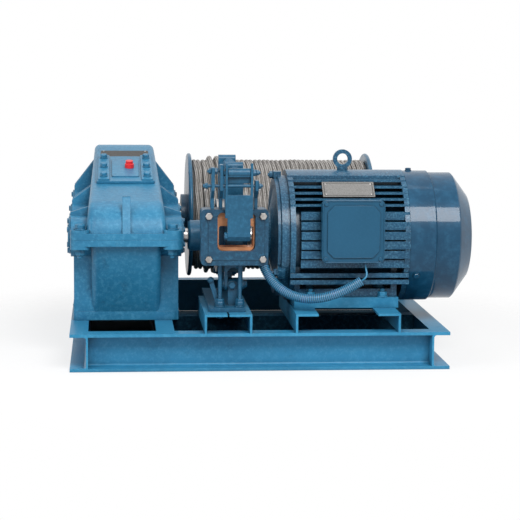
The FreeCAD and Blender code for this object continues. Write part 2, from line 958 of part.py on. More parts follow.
def make_magnet():
    yoke = new_body("magnet_yoke")
    left = yoke_x - size.yoke_width / 2
    right = yoke_x + size.yoke_width / 2
    low = size.yoke_bottom
    inside = size.yoke_opening_corner
    pad(yoke, "XZ", round_box_outline(left, low, right, yoke_top, size.yoke_corner), yoke_front, yoke_rear)
    rim = size.yoke_rim_width
    # the raised border leaves out the bar above the window, where the armature closes on the yoke
    raised = round_box_outline(
        opening_left - rim, opening_bottom - rim, opening_right + rim, opening_top - rim / 2, inside
    )
    pad(yoke, "XZ", raised, yoke_front - size.yoke_rim_height, yoke_front)
    cut = size.yoke_opening_chamfer
    window = [
        (opening_left + inside, opening_bottom, inside),
        (opening_right - inside, opening_bottom),
        (opening_right, opening_bottom + inside, inside),
        (opening_right, opening_top - cut),
        (opening_right - cut, opening_top),
        (opening_left + cut, opening_top),
        (opening_left, opening_top - cut),
        (opening_left, opening_bottom + inside),
    ]
    pocket(yoke, "XZ", window, yoke_front - 2 * size.yoke_rim_height, yoke_rear + 1)
    coil = new_body("magnet_coil")
    gap = size.coil_gap
    wall = size.coil_wall
    coil_front = yoke_rear - size.coil_depth
    outer = round_box_outline(
        opening_left + gap, opening_bottom, opening_right - gap, opening_top - gap, inside
    )
    pad(coil, "XZ", outer, coil_front, yoke_rear - 2)
    hole = round_box_outline(
        opening_left + gap + wall,
        opening_bottom + size.coil_bottom_wall,
        opening_right - gap - wall,
        opening_top - size.coil_top_wall,
        6,
    )
    pocket(coil, "XZ", hole, coil_front - 1, yoke_rear)
    studs = new_body("magnet_studs")
    y = front + size.stud_setback
    for side in (-1, 1):
        x = wheel_x + size.stud_offset + size.stud_spread / 2 * side
        pad(studs, "XY", Circles([(x, y, size.stud_radius)]), plate_top, size.yoke_bottom)
        nut = Circles([(x, y, size.nut_radius)])
        pad(studs, "XY", nut, plate_top, plate_top + size.nut_height)
        upper = Circles([(x, y, size.nut_radius - 2)])
        pad(studs, "XY", upper, plate_top + size.nut_height, plate_top + 2 * size.nut_height)


def make_armature():
    thick = size.armature_thickness
    face = front + size.armature_setback
    half = size.armature_width / 2
    plate = size.armature_plate
    low = size.armature_bottom
    high = low + size.armature_height
    top = axis_z + size.armature_top
    body = new_body("magnet_armature")
    block = [
        (face + size.armature_chamfer, low),
        (face + thick, low),
        (face + thick, high),
        (face, high),
        (face, low + size.armature_chamfer),
    ]
    pad(body, "YZ", block, armature_x - half, armature_x + half)
    radius = size.armature_pin_radius + size.running_gap
    for side in (-1, 1):
        near = armature_x + half * side
        far = armature_x + (half + plate) * side
        ends = (far, near) if side < 0 else (near, far)
        cheek = [
            (face, high - 60),
            (face + thick, high - 60),
            (face + thick, top - 12),
            (face + thick - 12, top),
            (face, top),
        ]
        pad(body, "YZ", cheek, ends[0], ends[1])
        pocket(body, "YZ", Circles([(pivot_y, pivot_z, radius)]), ends[0] - 1, ends[1] + 1)
    roller_z = axis_z + size.rod_height
    bar = box_outline(face + 4, roller_z - 11, face + thick - 2, roller_z + 11)
    pad(body, "YZ", bar, armature_x - half, armature_x + half)
    pin = new_body("armature_pin")
    spread = half + plate + size.bracket_gap + size.bracket_thickness
    spot = Circles([(pivot_y, pivot_z, size.armature_pin_radius)])
    far_left = spread + size.bracket_spread + size.bracket_thickness + 22
    pad(pin, "YZ", spot, armature_x - far_left, armature_x + spread + 8)
    brackets = new_body("armature_brackets")
    inner = half + plate + size.bracket_gap
    thickness = size.bracket_thickness
    lefts = (armature_x - inner - thickness, armature_x - spread - size.bracket_spread - thickness)
    crown = axis_z + size.bracket_top
    for start, tall in ((lefts[0], crown), (lefts[1], crown - 8), (armature_x + inner, pivot_z + 14)):
        ear = [
            (yoke_front + 4, yoke_top),
            (yoke_rear - 22, yoke_top),
            (yoke_rear - 22, yoke_top + 26),
            (yoke_front + 14, pivot_z + 6),
            (yoke_front + 10, tall),
            (pivot_y - 10, tall),
            (pivot_y - 10, pivot_z - 12),
            (yoke_front + 4, yoke_top + 30),
        ]
        pad(brackets, "YZ", ear, start, start + thickness)
    hole = Circles([(pivot_y, pivot_z, size.armature_pin_radius)])
    pocket(brackets, "YZ", hole, armature_x - far_left, armature_x + spread + 8)


# ---- motor ----
frame_left = motor_x + size.shield_length
frame_right = frame_left + size.motor_frame_length
foot_bottom = stand_top + size.bedplate_thickness
foot_left = frame_left + size.foot_inset
foot_right = foot_left + size.foot_length


def make_motor_stand():
    left = foot_left - size.angle_thickness
    right = foot_right - size.angle_thickness
    make_angle_pair("motor", left, right, size.motor_angle_length)
    body = new_body("motor_bedplate")
    half = size.foot_spread / 2 + size.foot_width / 2 + size.bedplate_overhang
    outline = box_outline(
        foot_left, input_y - half, foot_left + size.bedplate_length, input_y + half
    )
    pad(body, "XY", outline, stand_top, foot_bottom)
    bolts = Circles()
    for x, y in foot_bolts():
        bolts.append((x, y, size.foot_bolt_radius))
    pocket(body, "XY", bolts, stand_top - 1, foot_bottom + 1)


def foot_bolts():
    middle = (foot_left + foot_right) / 2
    spots = []
    for side in (-1, 1):
        for end in (-1, 1):
            x = middle + size.foot_bolt_spacing / 2 * end
            spots.append((x, input_y + size.foot_spread / 2 * side))
    return spots


# the end shield is bolted on at three ears
EAR_ANGLES = (90, 210, 330)


def make_motor_shield():
    body = new_body("motor_end_shield")
    bore = size.input_shaft_radius + size.running_gap
    nose = size.shield_nose_length
    profile = [
        (motor_x, bore),
        (frame_left, bore),
        (frame_left, size.shield_radius + 8),
        (frame_left - 22, size.shield_radius + 8),
        (frame_left - 24, size.shield_radius),
        (frame_left - 32, size.shield_radius),
        (frame_left - 32, size.shield_radius - 14),
        (motor_x + nose + 14, size.shield_nose_radius + 68),
        (motor_x + nose + 6, size.shield_nose_radius + 28),
        (motor_x + nose, size.shield_nose_radius + 8),
        (motor_x + nose, size.shield_nose_radius),
        (motor_x, size.shield_nose_radius - 6),
    ]
    turn(body, profile)
    low = size.shield_radius - 20
    half = size.shield_ear_width / 2
    for angle in EAR_ANGLES:
        across = math.cos(math.radians(angle))
        up = math.sin(math.radians(angle))
        ear = []
        for out, over in ((low, -half), (size.shield_ear_reach, -half), (size.shield_ear_reach, half), (low, half)):
            ear.append((out * across - over * up, out * up + over * across))
        ear_right = frame_left - 12
        pad(body, "YZ", ear, ear_right - size.shield_ear_length, ear_right)
    place(body, 0, input_y, axis_z)


def fin_row(count, pitch, thickness, level):
    """Level fins on both sides of the frame, each as long as the round lets its far edge be."""
    outer = size.motor_radius
    half = thickness / 2
    fins = Outlines()
    for index in range(int(count.value)):
        middle = level + pitch * index
        edge = middle + half if middle.value > 0 else half - middle
        reach = (outer * outer - edge * edge).root()
        low = axis_z + middle - half
        fins.append(box_outline(input_y - reach, low, input_y + reach, low + thickness))
    return fins


def make_motor_frame():
    """Cast frame: a round core, level ribs and fins to its outer round, and feet under it."""
    body = new_body("motor_frame")
    core = size.motor_core_radius
    outer = size.motor_radius
    pad(body, "YZ", Circles([(input_y, axis_z, core)]), frame_left, frame_right)
    wide = size.crown_width / 2
    shoulder_z = axis_z + (outer * outer - wide * wide).root()
    crown = [
        (input_y + wide, axis_z + core / 2),
        (input_y + wide, shoulder_z),
        (input_y - wide, shoulder_z, outer),
        (input_y - wide, axis_z + core / 2),
    ]
    pad(body, "YZ", crown, frame_left, frame_right)
    below = size.side_rib_middle - size.side_rib_pitch * (size.side_rib_count - 1) / 2
    ribs = fin_row(size.side_rib_count, size.side_rib_pitch, size.side_rib_thickness, below)
    ring = size.frame_ring_width
    pad(body, "YZ", ribs, frame_left + 2 * ring, frame_right)
    fins = fin_row(size.top_fin_count, size.top_fin_pitch, size.top_fin_thickness, size.top_fin_first)
    pad(body, "YZ", fins, frame_left + 1, frame_right)
    rails = Outlines()
    for index in range(2):
        top = axis_z - size.rail_level - size.rail_pitch * index
        rails.append(
            box_outline(
                input_y - size.rail_reach, top - size.rail_thickness, input_y + size.rail_reach, top
            )
        )
    pad(body, "YZ", rails, frame_left + 1, frame_right)
    for edge in (frame_left, frame_right - ring):
        pad(body, "YZ", Circles([(input_y, axis_z, size.frame_ring_radius)]), edge, edge + ring)
    boss = Circles([(eye_x, input_y, size.eye_collar_radius)])
    pad(body, "XY", boss, axis_z + outer - size.eye_boss_depth, axis_z + outer)
    side_pad = box_outline(
        input_y - outer, box_z - size.side_pad_height / 2, input_y, box_z + size.side_pad_height / 2
    )
    pad(body, "YZ", side_pad, box_x - size.side_pad_length / 2, box_x + size.side_pad_length / 2)
    half = size.foot_width / 2
    for side in (-1, 1):
        y = input_y + size.foot_spread / 2 * side
        sole = box_outline(foot_left, y - half, foot_right, y + half)
        pad(body, "XY", sole, foot_bottom, foot_bottom + size.foot_height)
        web = size.foot_web
        for x0 in (foot_left, foot_right - web):
            pad(body, "XY", box_outline(x0, y - half, x0 + web, y + half), foot_bottom, axis_z - 60)
        inner = y - half * side
        rail = (inner, inner + web) if side > 0 else (inner - web, inner)
        pad(body, "XY", box_outline(foot_left, rail[0], foot_right, rail[1]), foot_bottom, axis_z - 90)
    bolts = Circles()
    for x, y in foot_bolts():
        bolts.append((x, y, size.foot_bolt_radius))
    pocket(body, "XY", bolts, foot_bottom - 1, foot_bottom + size.foot_height + 1)


def make_fan_cover():
    """Sheet cover of three stepped rounds, its end closed by a grille of rings and spokes."""
    body = new_body("motor_fan_cover")
    radius = size.fan_cover_radius
    step = size.fan_cover_step
    first = frame_right + size.fan_cover_first
    second = first + size.fan_cover_second
    end = frame_right + size.fan_cover_length
    wall = size.fan_cover_wall
    mouth = size.fan_grille_radius - 8
    floor = end - size.grille_depth
    profile = [
        (frame_right, 0),
        (floor, 0),
        (floor, mouth - 4),
        (end, mouth),
        (end, size.fan_grille_radius),
        (second, radius - step - wall),
        (second - 4, radius - step),
        (first, radius - step),
        (first - 4, radius),
        (frame_right, radius),
    ]
    turn(body, profile)
    bar = size.grille_bar
    for index in range(int(size.grille_spokes.value) // 2):
        angle = math.pi * index / (int(size.grille_spokes.value) // 2)
        across = math.cos(angle)
        up = math.sin(angle)
        spoke = []
        for out, over in ((-mouth, -bar / 2), (mouth, -bar / 2), (mouth, bar / 2), (-mouth, bar / 2)):
            spoke.append((out * across - over * up, out * up + over * across))
        pad(body, "YZ", spoke, floor - 1, end - 2)
    rings = Outlines()
    for index in range(1, int(size.grille_rings.value) + 1):
        inner = size.grille_pitch * index + bar
        rings.append(box_outline(floor - 1, inner, end - 3, inner + bar))
    turn(body, rings)
    place(body, 0, input_y, axis_z)


box_x = frame_left + size.box_place
box_z = axis_z + size.box_centre_height
box_back = input_y - size.motor_radius
box_front_y = front + size.box_front
eye_x = frame_left + size.eye_place


def make_motor_fittings():
    half = size.box_length / 2
    tall = size.box_height / 2
    box = new_body("terminal_box")
    outline = round_box_outline(
        box_x - half, box_z - tall, box_x + half, box_z + tall, size.box_corner
    )
    pad(box, "XZ", outline, box_front_y, box_back)
    cover = new_body("terminal_box_cover")
    lid_front = box_front_y - size.box_cover_thickness + size.box_panel_thickness
    outline = round_box_outline(
        box_x - half - 3, box_z - tall - 3, box_x + half + 3, box_z + tall + 3, size.box_corner
    )
    pad(cover, "XZ", outline, lid_front, box_front_y)
    wide = half - size.box_panel_inset
    high = tall - size.box_panel_inset
    cut = size.box_panel_chamfer
    panel = [
        (box_x - wide + cut, box_z - high),
        (box_x + wide - cut, box_z - high),
        (box_x + wide, box_z - high + cut),
        (box_x + wide, box_z + high - cut),
        (box_x + wide - cut, box_z + high),
        (box_x - wide + cut, box_z + high),
        (box_x - wide, box_z + high - cut),
        (box_x - wide, box_z - high + cut),
    ]
    pad(cover, "XZ", panel, lid_front - size.box_panel_thickness, lid_front)
    eye = new_body("lifting_eye")
    top = axis_z + size.motor_radius
    collar = size.eye_collar_radius
    pad(eye, "XY", Circles([(eye_x, input_y, collar)]), top, top + size.eye_collar_height)
    ring_z = top + size.eye_collar_height + size.eye_radius + 1.5
    wire = size.eye_wire
    loop = Circles([(eye_x, ring_z, size.eye_radius + wire), (eye_x, ring_z, size.eye_radius - wire)])
    pad(eye, "XZ", loop, input_y - wire, input_y + wire)
    plate = new_body("motor_nameplate")
    wide = size.motor_plate_length
    deep = size.motor_plate_height
    pad(plate, "XY", box_outline(0, 0, wide, deep), 0, size.plate_thickness)


# ---- drum ----
drum_left = cap_face + size.drum_gap
pedestal_x = base_right - size.beam_flange / 2
housing_left = pedestal_x - size.housing_length / 2
drum_right = housing_left - size.drum_hub_length - size.drum_clearance


def make_drum():
    thick = size.drum_flange_thickness
    shaft = size.drum_shaft_radius
    barrel = new_body("drum_barrel")
    outer = size.drum_barrel_radius
    inner = outer - size.drum_barrel_wall
    turn(barrel, box_outline(drum_left + thick, inner, drum_right - thick, outer))
    place(barrel, 0, output_y, axis_z)
    hub = size.drum_hub_radius
    deep = size.drum_hub_length
    rim = size.drum_flange_radius
    rounding = thick / 2
    left = new_body("drum_flange_left")
    profile = [
        (drum_left - deep, shaft),
        (drum_left + thick, shaft),
        (drum_left + thick, rim - rounding),
        (drum_left + rounding, rim, rounding),
        (drum_left, rim - rounding, rounding),
        (drum_left, hub),
        (drum_left - deep, hub),
    ]
    turn(left, profile)
    place(left, 0, output_y, axis_z)
    right = new_body("drum_flange_right")
    profile = [
        (drum_right - thick, shaft),
        (drum_right + deep, shaft),
        (drum_right + deep, hub),
        (drum_right, hub),
        (drum_right, rim - rounding),
        (drum_right - rounding, rim, rounding),
        (drum_right - thick, rim - rounding, rounding),
    ]
    turn(right, profile)
    place(right, 0, output_y, axis_z)
    axle = new_body("drum_shaft")
    start = gear_x + size.boss_reach + 1
    end = housing_left + size.housing_length
    pad(axle, "YZ", Circles([(output_y, axis_z, shaft)]), start, end)
    rope = new_body("rope_winding")
    wound = outer + size.rope_radius * 2 * size.rope_layers
    near = drum_left + thick + size.seat_gap
    far = drum_right - thick - size.seat_gap
    # the turns rise and fall in broad humps, the second one where the rope crosses itself
    depth = size.rope_hump_depth
    count = int(size.rope_hump_count.value)
    run = (far - near) / count
    half = run / 2
    crest = (half * half + depth * depth) / (2 * depth)
    valley = wound - depth
    profile = [(near, outer + size.seat_gap), (far, outer + size.seat_gap), (far, valley)]
    for index in range(count - 1, -1, -1):
        profile.append((near + run * index, valley, crest))
    turn(rope, profile)
    place(rope, 0, output_y, axis_z)


def make_drum_bearing():
    pedestal = new_body("drum_bearing_pedestal")
    half = size.pedestal_thickness / 2
    foot = size.pedestal_foot / 2
    top = size.pedestal_top / 2
    seat = axis_z - size.housing_radius
    outline = [
        (output_y - foot, deck),
        (output_y + foot, deck),
        (output_y + foot, deck + 14),
        (output_y + top, seat),
        (output_y - top, seat),
        (output_y - foot, deck + 14),
    ]
    pad(pedestal, "YZ", outline, pedestal_x - half, pedestal_x + half)
    housing = new_body("drum_bearing_housing")
    radius = size.housing_radius
    block = [
        (output_y - top, seat),
        (output_y + top, seat),
        (output_y + top, seat + 18),
        (output_y + radius, seat + 24),
        (output_y + radius, axis_z),
        (output_y, axis_z + radius, radius),
        (output_y - radius, axis_z, radius),
        (output_y - radius, seat + 24),
        (output_y - top, seat + 18),
    ]
    pad(housing, "YZ", block, housing_left, housing_left + size.housing_length)
    bore = Circles([(output_y, axis_z, size.drum_shaft_radius + size.running_gap)])
    pocket(housing, "YZ", bore, housing_left - 1, housing_left + size.housing_length + 1)


def tilt_motor_plate():
    """The bare plate leans on the fins above the terminal box, facing forward and up."""
    plate = doc.getObject("motor_nameplate")
    lean = math.radians(size.motor_plate_lean.value)
    turned = Rotation(Vector(1, 0, 0), size.motor_plate_lean.value)
    plate.Placement = Placement(Vector(0, 0, 0), turned)
    out = size.motor_radius
    half = size.motor_plate_height / 2
    y = input_y - out * math.sin(lean) - half * math.cos(lean)
    z = axis_z + out * math.cos(lean) - half * math.sin(lean)
    place(plate, box_x - size.motor_plate_length / 2, y, z)


# ---- hose and lead ----
# the hose's route in millimetres from the ground below the base's front edge, below the hose's start;
# the lead's from the hose's end to its gland, as parts of the way across, back and up
hose_route = [
    (0, 114, 342),
    (0, 114, 306),
    (7.7, 106.4, 267.8),
    (24.7, 92.1, 234.5),
    (49.2, 75, 208.4),
    (80.2, 57.8, 191.1),
    (116.2, 42.5, 183.9),
    (154.1, 30.9, 186.8),
    (191.9, 23.2, 197.9),
    (228, 19.2, 214.7),
    (262, 18, 235.5),
]
lead_route = [
    (0, 0, 0),
    (0.36, -0.015, 0.061),
    (0.91, 0.046, 0.188),
    (1.21, 0.27, 0.35),
    (1.22, 0.57, 0.515),
    (1.09, 0.86, 0.692),
    (1, 1, 0.882),
    (1, 1, 1),
]


def rounded_path(points):
    """Straight runs joined by tangent arcs, each as large as its two runs allow; prints the radii."""
    edges = []
    radii = []
    place_now = points[0]
    for before, corner, after in zip(points, points[1:], points[2:]):
        back = (before - corner)
        ahead = (after - corner)
        turn_half = (math.pi - back.getAngle(ahead)) / 2
        cut = 0.45 * min(back.Length, ahead.Length)
        radius = cut / math.tan(turn_half)
        radii.append(radius)
        back.normalize()
        ahead.normalize()
        start = corner + back * cut
        end = corner + ahead * cut
        bisector = (back + ahead).normalize()
        middle = corner + bisector * (radius / math.cos(turn_half) - radius)
        edges.append(Part.LineSegment(place_now, start).toShape())
        edges.append(Part.Arc(start, middle, end).toShape())
        place_now = end
    edges.append(Part.LineSegment(place_now, points[-1]).toShape())
    print("bend radii", [round(r) for r in radii])
    return Part.Wire(edges)


def make_tube(label, points, radius):
    path = rounded_path(points)
    along = points[1] - points[0]
    section = Part.Wire(Part.Circle(points[0], along, radius.value).toShape())
    tube = path.makePipeShell([section], True, False)
    feature = doc.addObject("Part::Feature", label)
    feature.Label = label
    feature.Shape = tube
    feature.Placement = Placement()
    wanted = math.pi * radius.value ** 2 * path.Length
    print(label, "length", round(path.Length, 1), "volume ratio", round(tube.Volume / wanted, 4))


def make_hose():
    start_x = wheel_x + size.hose_start_offset
    origin = Vector(start_x.value, front.value, 0)
    points = [origin + Vector(*point) for point in hose_route]
    make_tube("conduit_hose", points, size.hose_radius)
    gland = new_body("hose_gland")
    y = front + hose_route[0][1]
    z = hose_route[0][2]
    top = z + size.gland_height
    pad(gland, "XY", Circles([(start_x, y, size.gland_radius)]), z, top)
    half = size.hose_clip_width / 2
    pad(gland, "XY", box_outline(start_x - half, yoke_rear, start_x + half, y), z + 4, top)
    gland_x = box_x + size.lead_gland_offset
    gland_y = front + size.lead_gland_setback
    low = box_z - size.box_height / 2
    mouth = low - size.lead_gland_height
    end = new_body("lead_gland")
    pad(end, "XY", Circles([(gland_x, gland_y, size.lead_gland_radius)]), mouth, low)
    goal = Vector(gland_x.value, gland_y.value, mouth.value)
    way = goal - points[-1]
    lead = [points[-1] + Vector(way.x * u, way.y * v, way.z * w) for u, v, w in lead_route]
    make_tube("motor_lead", lead, size.lead_radius)


make_base()
make_gearbox_lower()
make_gearbox_upper()
make_bearing_caps()
make_gearbox_top()
make_high_speed_shaft()
make_brake_base()
make_brake_arm("front", -1)
make_brake_arm("rear", 1)
make_brake_rod()
make_magnet()
make_armature()
make_motor_stand()
make_motor_shield()
make_motor_frame()
make_fan_cover()
make_motor_fittings()
tilt_motor_plate()
make_drum()
make_drum_bearing()
make_hose()

doc.recompute()
for thing in doc.Objects:
    if "Invalid" in thing.State or "Error" in thing.State:
        raise RuntimeError("%s failed: %s" % (thing.Label, thing.State))
    if thing.TypeId == "PartDesign::Pocket":
        if thing.Shape.Volume > thing.BaseFeature.Shape.Volume - 1:
            raise RuntimeError("%s cuts nothing" % thing.Label)

pieces = [t for t in doc.Objects if t.TypeId in ("PartDesign::Body", "Part::Feature")]
os.makedirs("parts", exist_ok=True)
for piece in pieces:
    if piece.Shape.isNull() or not piece.Shape.isValid():
        raise RuntimeError("%s has no valid shape" % piece.Label)
    piece.Shape.exportStep("parts/%s.step" % piece.Label)
print("wrote", len(pieces), "pieces")
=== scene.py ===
import bmesh
import bpy
import math
from mathutils import Matrix, Vector, noise


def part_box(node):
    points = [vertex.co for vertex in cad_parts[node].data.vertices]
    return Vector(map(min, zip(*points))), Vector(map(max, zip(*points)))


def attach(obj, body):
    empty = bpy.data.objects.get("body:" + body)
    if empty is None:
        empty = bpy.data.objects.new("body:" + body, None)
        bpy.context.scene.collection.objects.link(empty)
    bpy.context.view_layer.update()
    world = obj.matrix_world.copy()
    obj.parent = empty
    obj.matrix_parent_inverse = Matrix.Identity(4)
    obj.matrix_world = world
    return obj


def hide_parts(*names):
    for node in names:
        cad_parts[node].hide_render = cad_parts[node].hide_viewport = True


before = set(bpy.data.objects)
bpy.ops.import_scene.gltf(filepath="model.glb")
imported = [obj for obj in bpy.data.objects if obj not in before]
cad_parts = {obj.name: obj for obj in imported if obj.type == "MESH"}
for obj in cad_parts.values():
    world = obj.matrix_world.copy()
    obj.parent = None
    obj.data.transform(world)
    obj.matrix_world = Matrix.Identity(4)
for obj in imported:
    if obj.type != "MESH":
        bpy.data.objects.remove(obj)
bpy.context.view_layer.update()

print("winch: frame loaded,", len(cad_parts), "parts")


class Sock:
    # one output of a node; sums and products on it add Math nodes
    def __init__(self, tree, out):
        self.tree = tree
        self.out = out

    def calc(self, operation, *values):
        node = self.tree.nodes.new("ShaderNodeMath")
        node.operation = operation
        for slot, value in zip(node.inputs, values):
            plug(self.tree, slot, value)
        return Sock(self.tree, node.outputs[0])

    def __add__(self, other):
        return self.calc("ADD", self, other)

    def __radd__(self, other):
        return self.calc("ADD", other, self)

    def __sub__(self, other):
        return self.calc("SUBTRACT", self, other)

    def __rsub__(self, other):
        return self.calc("SUBTRACT", other, self)

    def __mul__(self, other):
        return self.calc("MULTIPLY", self, other)

    def __gt__(self, other):
        return self.calc("GREATER_THAN", self, other)

    def __lt__(self, other):
        return self.calc("LESS_THAN", self, other)

    def clamp(self, low, high):
        return self.calc("MINIMUM", self.calc("MAXIMUM", self, low), high)

    def wave(self):
        # a cosine from 0 to 1 that repeats with every whole number
        turn = self * (2 * math.pi)
        return turn.calc("COSINE", turn) * 0.5 + 0.5


def plug(tree, slot, value):
    if isinstance(value, Sock):
        tree.links.new(value.out, slot)
    elif isinstance(value, (tuple, list)) and len(value) == 3 and len(slot.default_value) == 4:
        slot.default_value = (*value, 1)
    else:
        slot.default_value = value


class Finish:
    # a material with one Principled shader
    def __init__(self, name):
        self.material = bpy.data.materials.new(name)
        self.material.use_nodes = True
        self.tree = self.material.node_tree
        self.shader = self.tree.nodes["Principled BSDF"]

    def add(self, kind, settings=None, wires=None, out=0):
        node = self.tree.nodes.new("ShaderNode" + kind)
        for key, value in (settings or {}).items():
            setattr(node, key, value)
        for key, value in (wires or {}).items():
            plug(self.tree, node.inputs[key], value)
        return Sock(self.tree, node.outputs[out])

    def place(self):
        return self.add("TexCoord", out="Object")

    def split(self, vector):
        node = self.tree.nodes.new("ShaderNodeSeparateXYZ")
        plug(self.tree, node.inputs[0], vector)
        return [Sock(self.tree, out) for out in node.outputs]

    def noise(self, where, scale, detail=4, roughness=0.55):
        wires = {"Vector": where, "Scale": scale, "Detail": detail, "Roughness": roughness}
        return self.add("TexNoise", wires=wires)

    def mix(self, factor, a, b):
        return self.add("Mix", {"data_type": "RGBA"}, {0: factor, 6: a, 7: b}, out=2)

    def band(self, value, low, high):
        wires = {"Value": value, "From Min": low, "From Max": high}
        return self.add("MapRange", {"interpolation_type": "SMOOTHSTEP"}, wires)

    def bump(self, height, strength, distance, below=None):
        wires = {"Height": height, "Strength": strength, "Distance": distance}
        if below:
            wires["Normal"] = below
        return self.add("Bump", wires=wires)

    def wear(self, **values):
        for key, value in values.items():
            plug(self.tree, self.shader.inputs[key.replace("_", " ")], value)
        return self.material


def viewRays(tree):
    # one for rays that show the background: straight, mirrored or through glass
    rays = tree.nodes.new("ShaderNodeLightPath")
    names = ("Is Camera Ray", "Is Glossy Ray", "Is Transmission Ray")
    seen, gloss, through = (Sock(tree, rays.outputs[name]) for name in names)
    return (seen + gloss + through).clamp(0, 1)


def srgb(red, green, blue):
    # a colour as it looks on screen, 0 to 255, to the light it stands for
    parts = []
    for part in (red, green, blue):
        part = part / 255
        parts.append(part / 12.92 if part <= 0.04045 else ((part + 0.055) / 1.055) ** 2.4)
    return tuple(parts)


# the space inside the ring of channels, up to their tops
baseInside = {
    "left": -0.4895,
    "right": 0.4205,
    "front": -0.4672,
    "rear": 0.4672,
    "top": 0.0992,
}


def insideMask(f, where):
    # one inside the ring of channels and below their tops, where painted shade goes
    x, y, z = f.split(where)
    wide = (x > baseInside["left"]) * (x < baseInside["right"])
    deep = (y > baseInside["front"]) * (y < baseInside["rear"])
    return wide * deep * (z < baseInside["top"])


def paintFinish(name, paint):
    # enamel over a casting or rolled steel: mottled colour, grime in patches, painted shade in
    # the corners and inside the base, uneven gloss
    f = Finish(name)
    where = f.place()
    broad = f.noise(where, paint["patchScale"], 5, 0.6)
    fine = f.noise(where, paint["mottleScale"], 3, 0.7)
    speck = f.noise(where, paint["speckScale"], 2, 0.5)
    colour = f.mix(f.band(broad, *paint["patchBand"]), paint["shade"], paint["colour"])
    colour = f.mix(f.band(fine, *paint["mottleBand"]) * paint["mottle"], colour, paint["light"])
    grime = f.band(f.noise(where, paint["grimeScale"], 8, 0.75), *paint["grimeBand"])
    colour = f.mix(grime * paint["grime"], colour, paint["dark"])
    colour = f.mix(f.band(speck, *paint["chipBand"]) * paint["chips"], colour, paint["dark"])
    # painted shade on faces inside the ring of channels
    if paint["insideShade"]:
        colour = f.mix(insideMask(f, where) * paint["insideShade"], colour, paint["insideShadeColour"])
    # painted shade: darker in corners and recesses, where ambient occlusion finds them
    hollow = f.add("AmbientOcclusion", {"samples": 6}, {"Distance": paint["cavity"]}, out="AO")
    cornerShade = 1.0 - f.band(hollow, *paint["cavityBand"])
    colour = f.mix(cornerShade * paint["cavityShade"], colour, paint["dark"])
    rough = paint["rough"] + (broad - 0.5) * paint["patchGloss"]
    rough = rough + (fine - 0.5) * paint["mottleGloss"] + grime * paint["grimeGloss"]
    # rounded edges, then the lumps of the casting, then its grain
    normal = f.add("Bevel", {"samples": 4}, {"Radius": paint["edge"]})
    lumps = f.noise(where, paint["lumpScale"], 3, 0.6)
    normal = f.bump(lumps, paint["lump"], paint["lumpDepth"], normal)
    grain = f.noise(where, paint["grainScale"], 2, 0.6)
    normal = f.bump(grain, paint["grain"], paint["grainDepth"], normal)
    return f.wear(
        Base_Color=colour,
        Roughness=rough.clamp(0.05, 0.9),
        Normal=normal,
        Coat_Weight=paint["coat"],
        Coat_Roughness=paint["coatRough"],
        Specular_IOR_Level=paint["specular"],
    )


enamel = {
    "colour": srgb(50, 135, 175),
    "shade": srgb(42, 120, 158),
    "light": srgb(86, 162, 198),
    "dark": srgb(16, 46, 66),
    # colour of the painted shade inside the base
    "insideShadeColour": srgb(8, 20, 28),
    "patchBand": (0.3, 0.7),
    "mottleBand": (0.42, 0.75),
    "grimeBand": (0.56, 0.78),
    "chipBand": (0.71, 0.76),
    "cavityBand": (0.15, 0.85),
    "patchGloss": 0.16,
    "mottleGloss": 0.12,
    "grimeGloss": 0.2,
    "lumpDepth": 0.0012,
    "grainDepth": 0.0004,
    "specular": 0.3,
    "insideShade": 0.0,
    "patchScale": 5.0,
    "mottleScale": 90.0,
    "speckScale": 210.0,
    "grimeScale": 22.0,
    "mottle": 0.35,
    "grime": 0.35,
    "chips": 0.5,
    "rough": 0.42,
    "lumpScale": 55.0,
    "lump": 0.25,
    "grainScale": 420.0,
    "grain": 0.35,
    "edge": 0.0018,
    "cavity": 0.03,
    "cavityShade": 0.75,
    "coat": 0.15,
    "coatRough": 0.25,
}
castEnamel = dict(
    enamel, colour=srgb(44, 126, 165), shade=srgb(35, 108, 145), lump=0.8, grain=0.9,
    lumpScale=75.0, edge=0.003, rough=0.42, grime=0.5, mottle=0.4, coat=0.2,
)
beamEnamel = dict(
    enamel, lump=0.15, grain=0.18, rough=0.4, edge=0.0012, coat=0.1, insideShade=0.5,
    specular=0.22,
)
motorEnamel = dict(
    enamel, colour=srgb(24, 82, 114), shade=srgb(17, 66, 95), light=srgb(112, 176, 208),
    dark=srgb(6, 24, 38), mottleScale=190.0, specular=0.25, lump=0.9, lumpScale=110.0,
    grain=1.0, grainScale=330.0, mottle=0.4, rough=0.36, coat=0.25, coatRough=0.14,
    edge=0.0016,
)
sheetEnamel = dict(
    motorEnamel, colour=srgb(18, 76, 108), shade=srgb(12, 63, 92), light=srgb(60, 122, 158),
    mottleScale=40.0, specular=0.1, lump=0.22, lumpScale=9.0, grain=0.12, grime=0.15,
    mottle=0.2, rough=0.34, coat=0.48, coatRough=0.07,
)
boxEnamel = dict(
    motorEnamel, colour=srgb(30, 84, 114), shade=srgb(26, 78, 107), light=srgb(50, 104, 138),
    grain=0.35, lump=0.15, mottle=0.15, grime=0.1, rough=0.4, coat=0.1,
)
brakeEnamel = dict(
    enamel, colour=srgb(32, 97, 131), shade=srgb(26, 81, 111), light=srgb(62, 130, 166),
    dark=srgb(8, 28, 42), lump=0.4, grain=0.5,
)
# a darker, duller copy of the beam paint: painted shade for the beam inside the base
shadedBeamEnamel = dict(
    beamEnamel, colour=srgb(30, 78, 105), shade=srgb(22, 62, 84), rough=0.7, coat=0.0,
    specular=0.05,
)
yokeEnamel = dict(brakeEnamel, colour=srgb(25, 70, 97), shade=srgb(21, 61, 86))
drumEnamel = dict(brakeEnamel, insideShade=0.0, rough=0.34, coat=0.3, edge=0.001)
leadEnamel = dict(enamel, lump=0.1, grain=0.2, rough=0.35, edge=0.0005)
conduit = dict(
    enamel, colour=srgb(66, 132, 170), worn=srgb(104, 128, 178), wornShare=0.35, rough=0.3,
    grain=0.2, coat=0.3, coatRough=0.2,
)
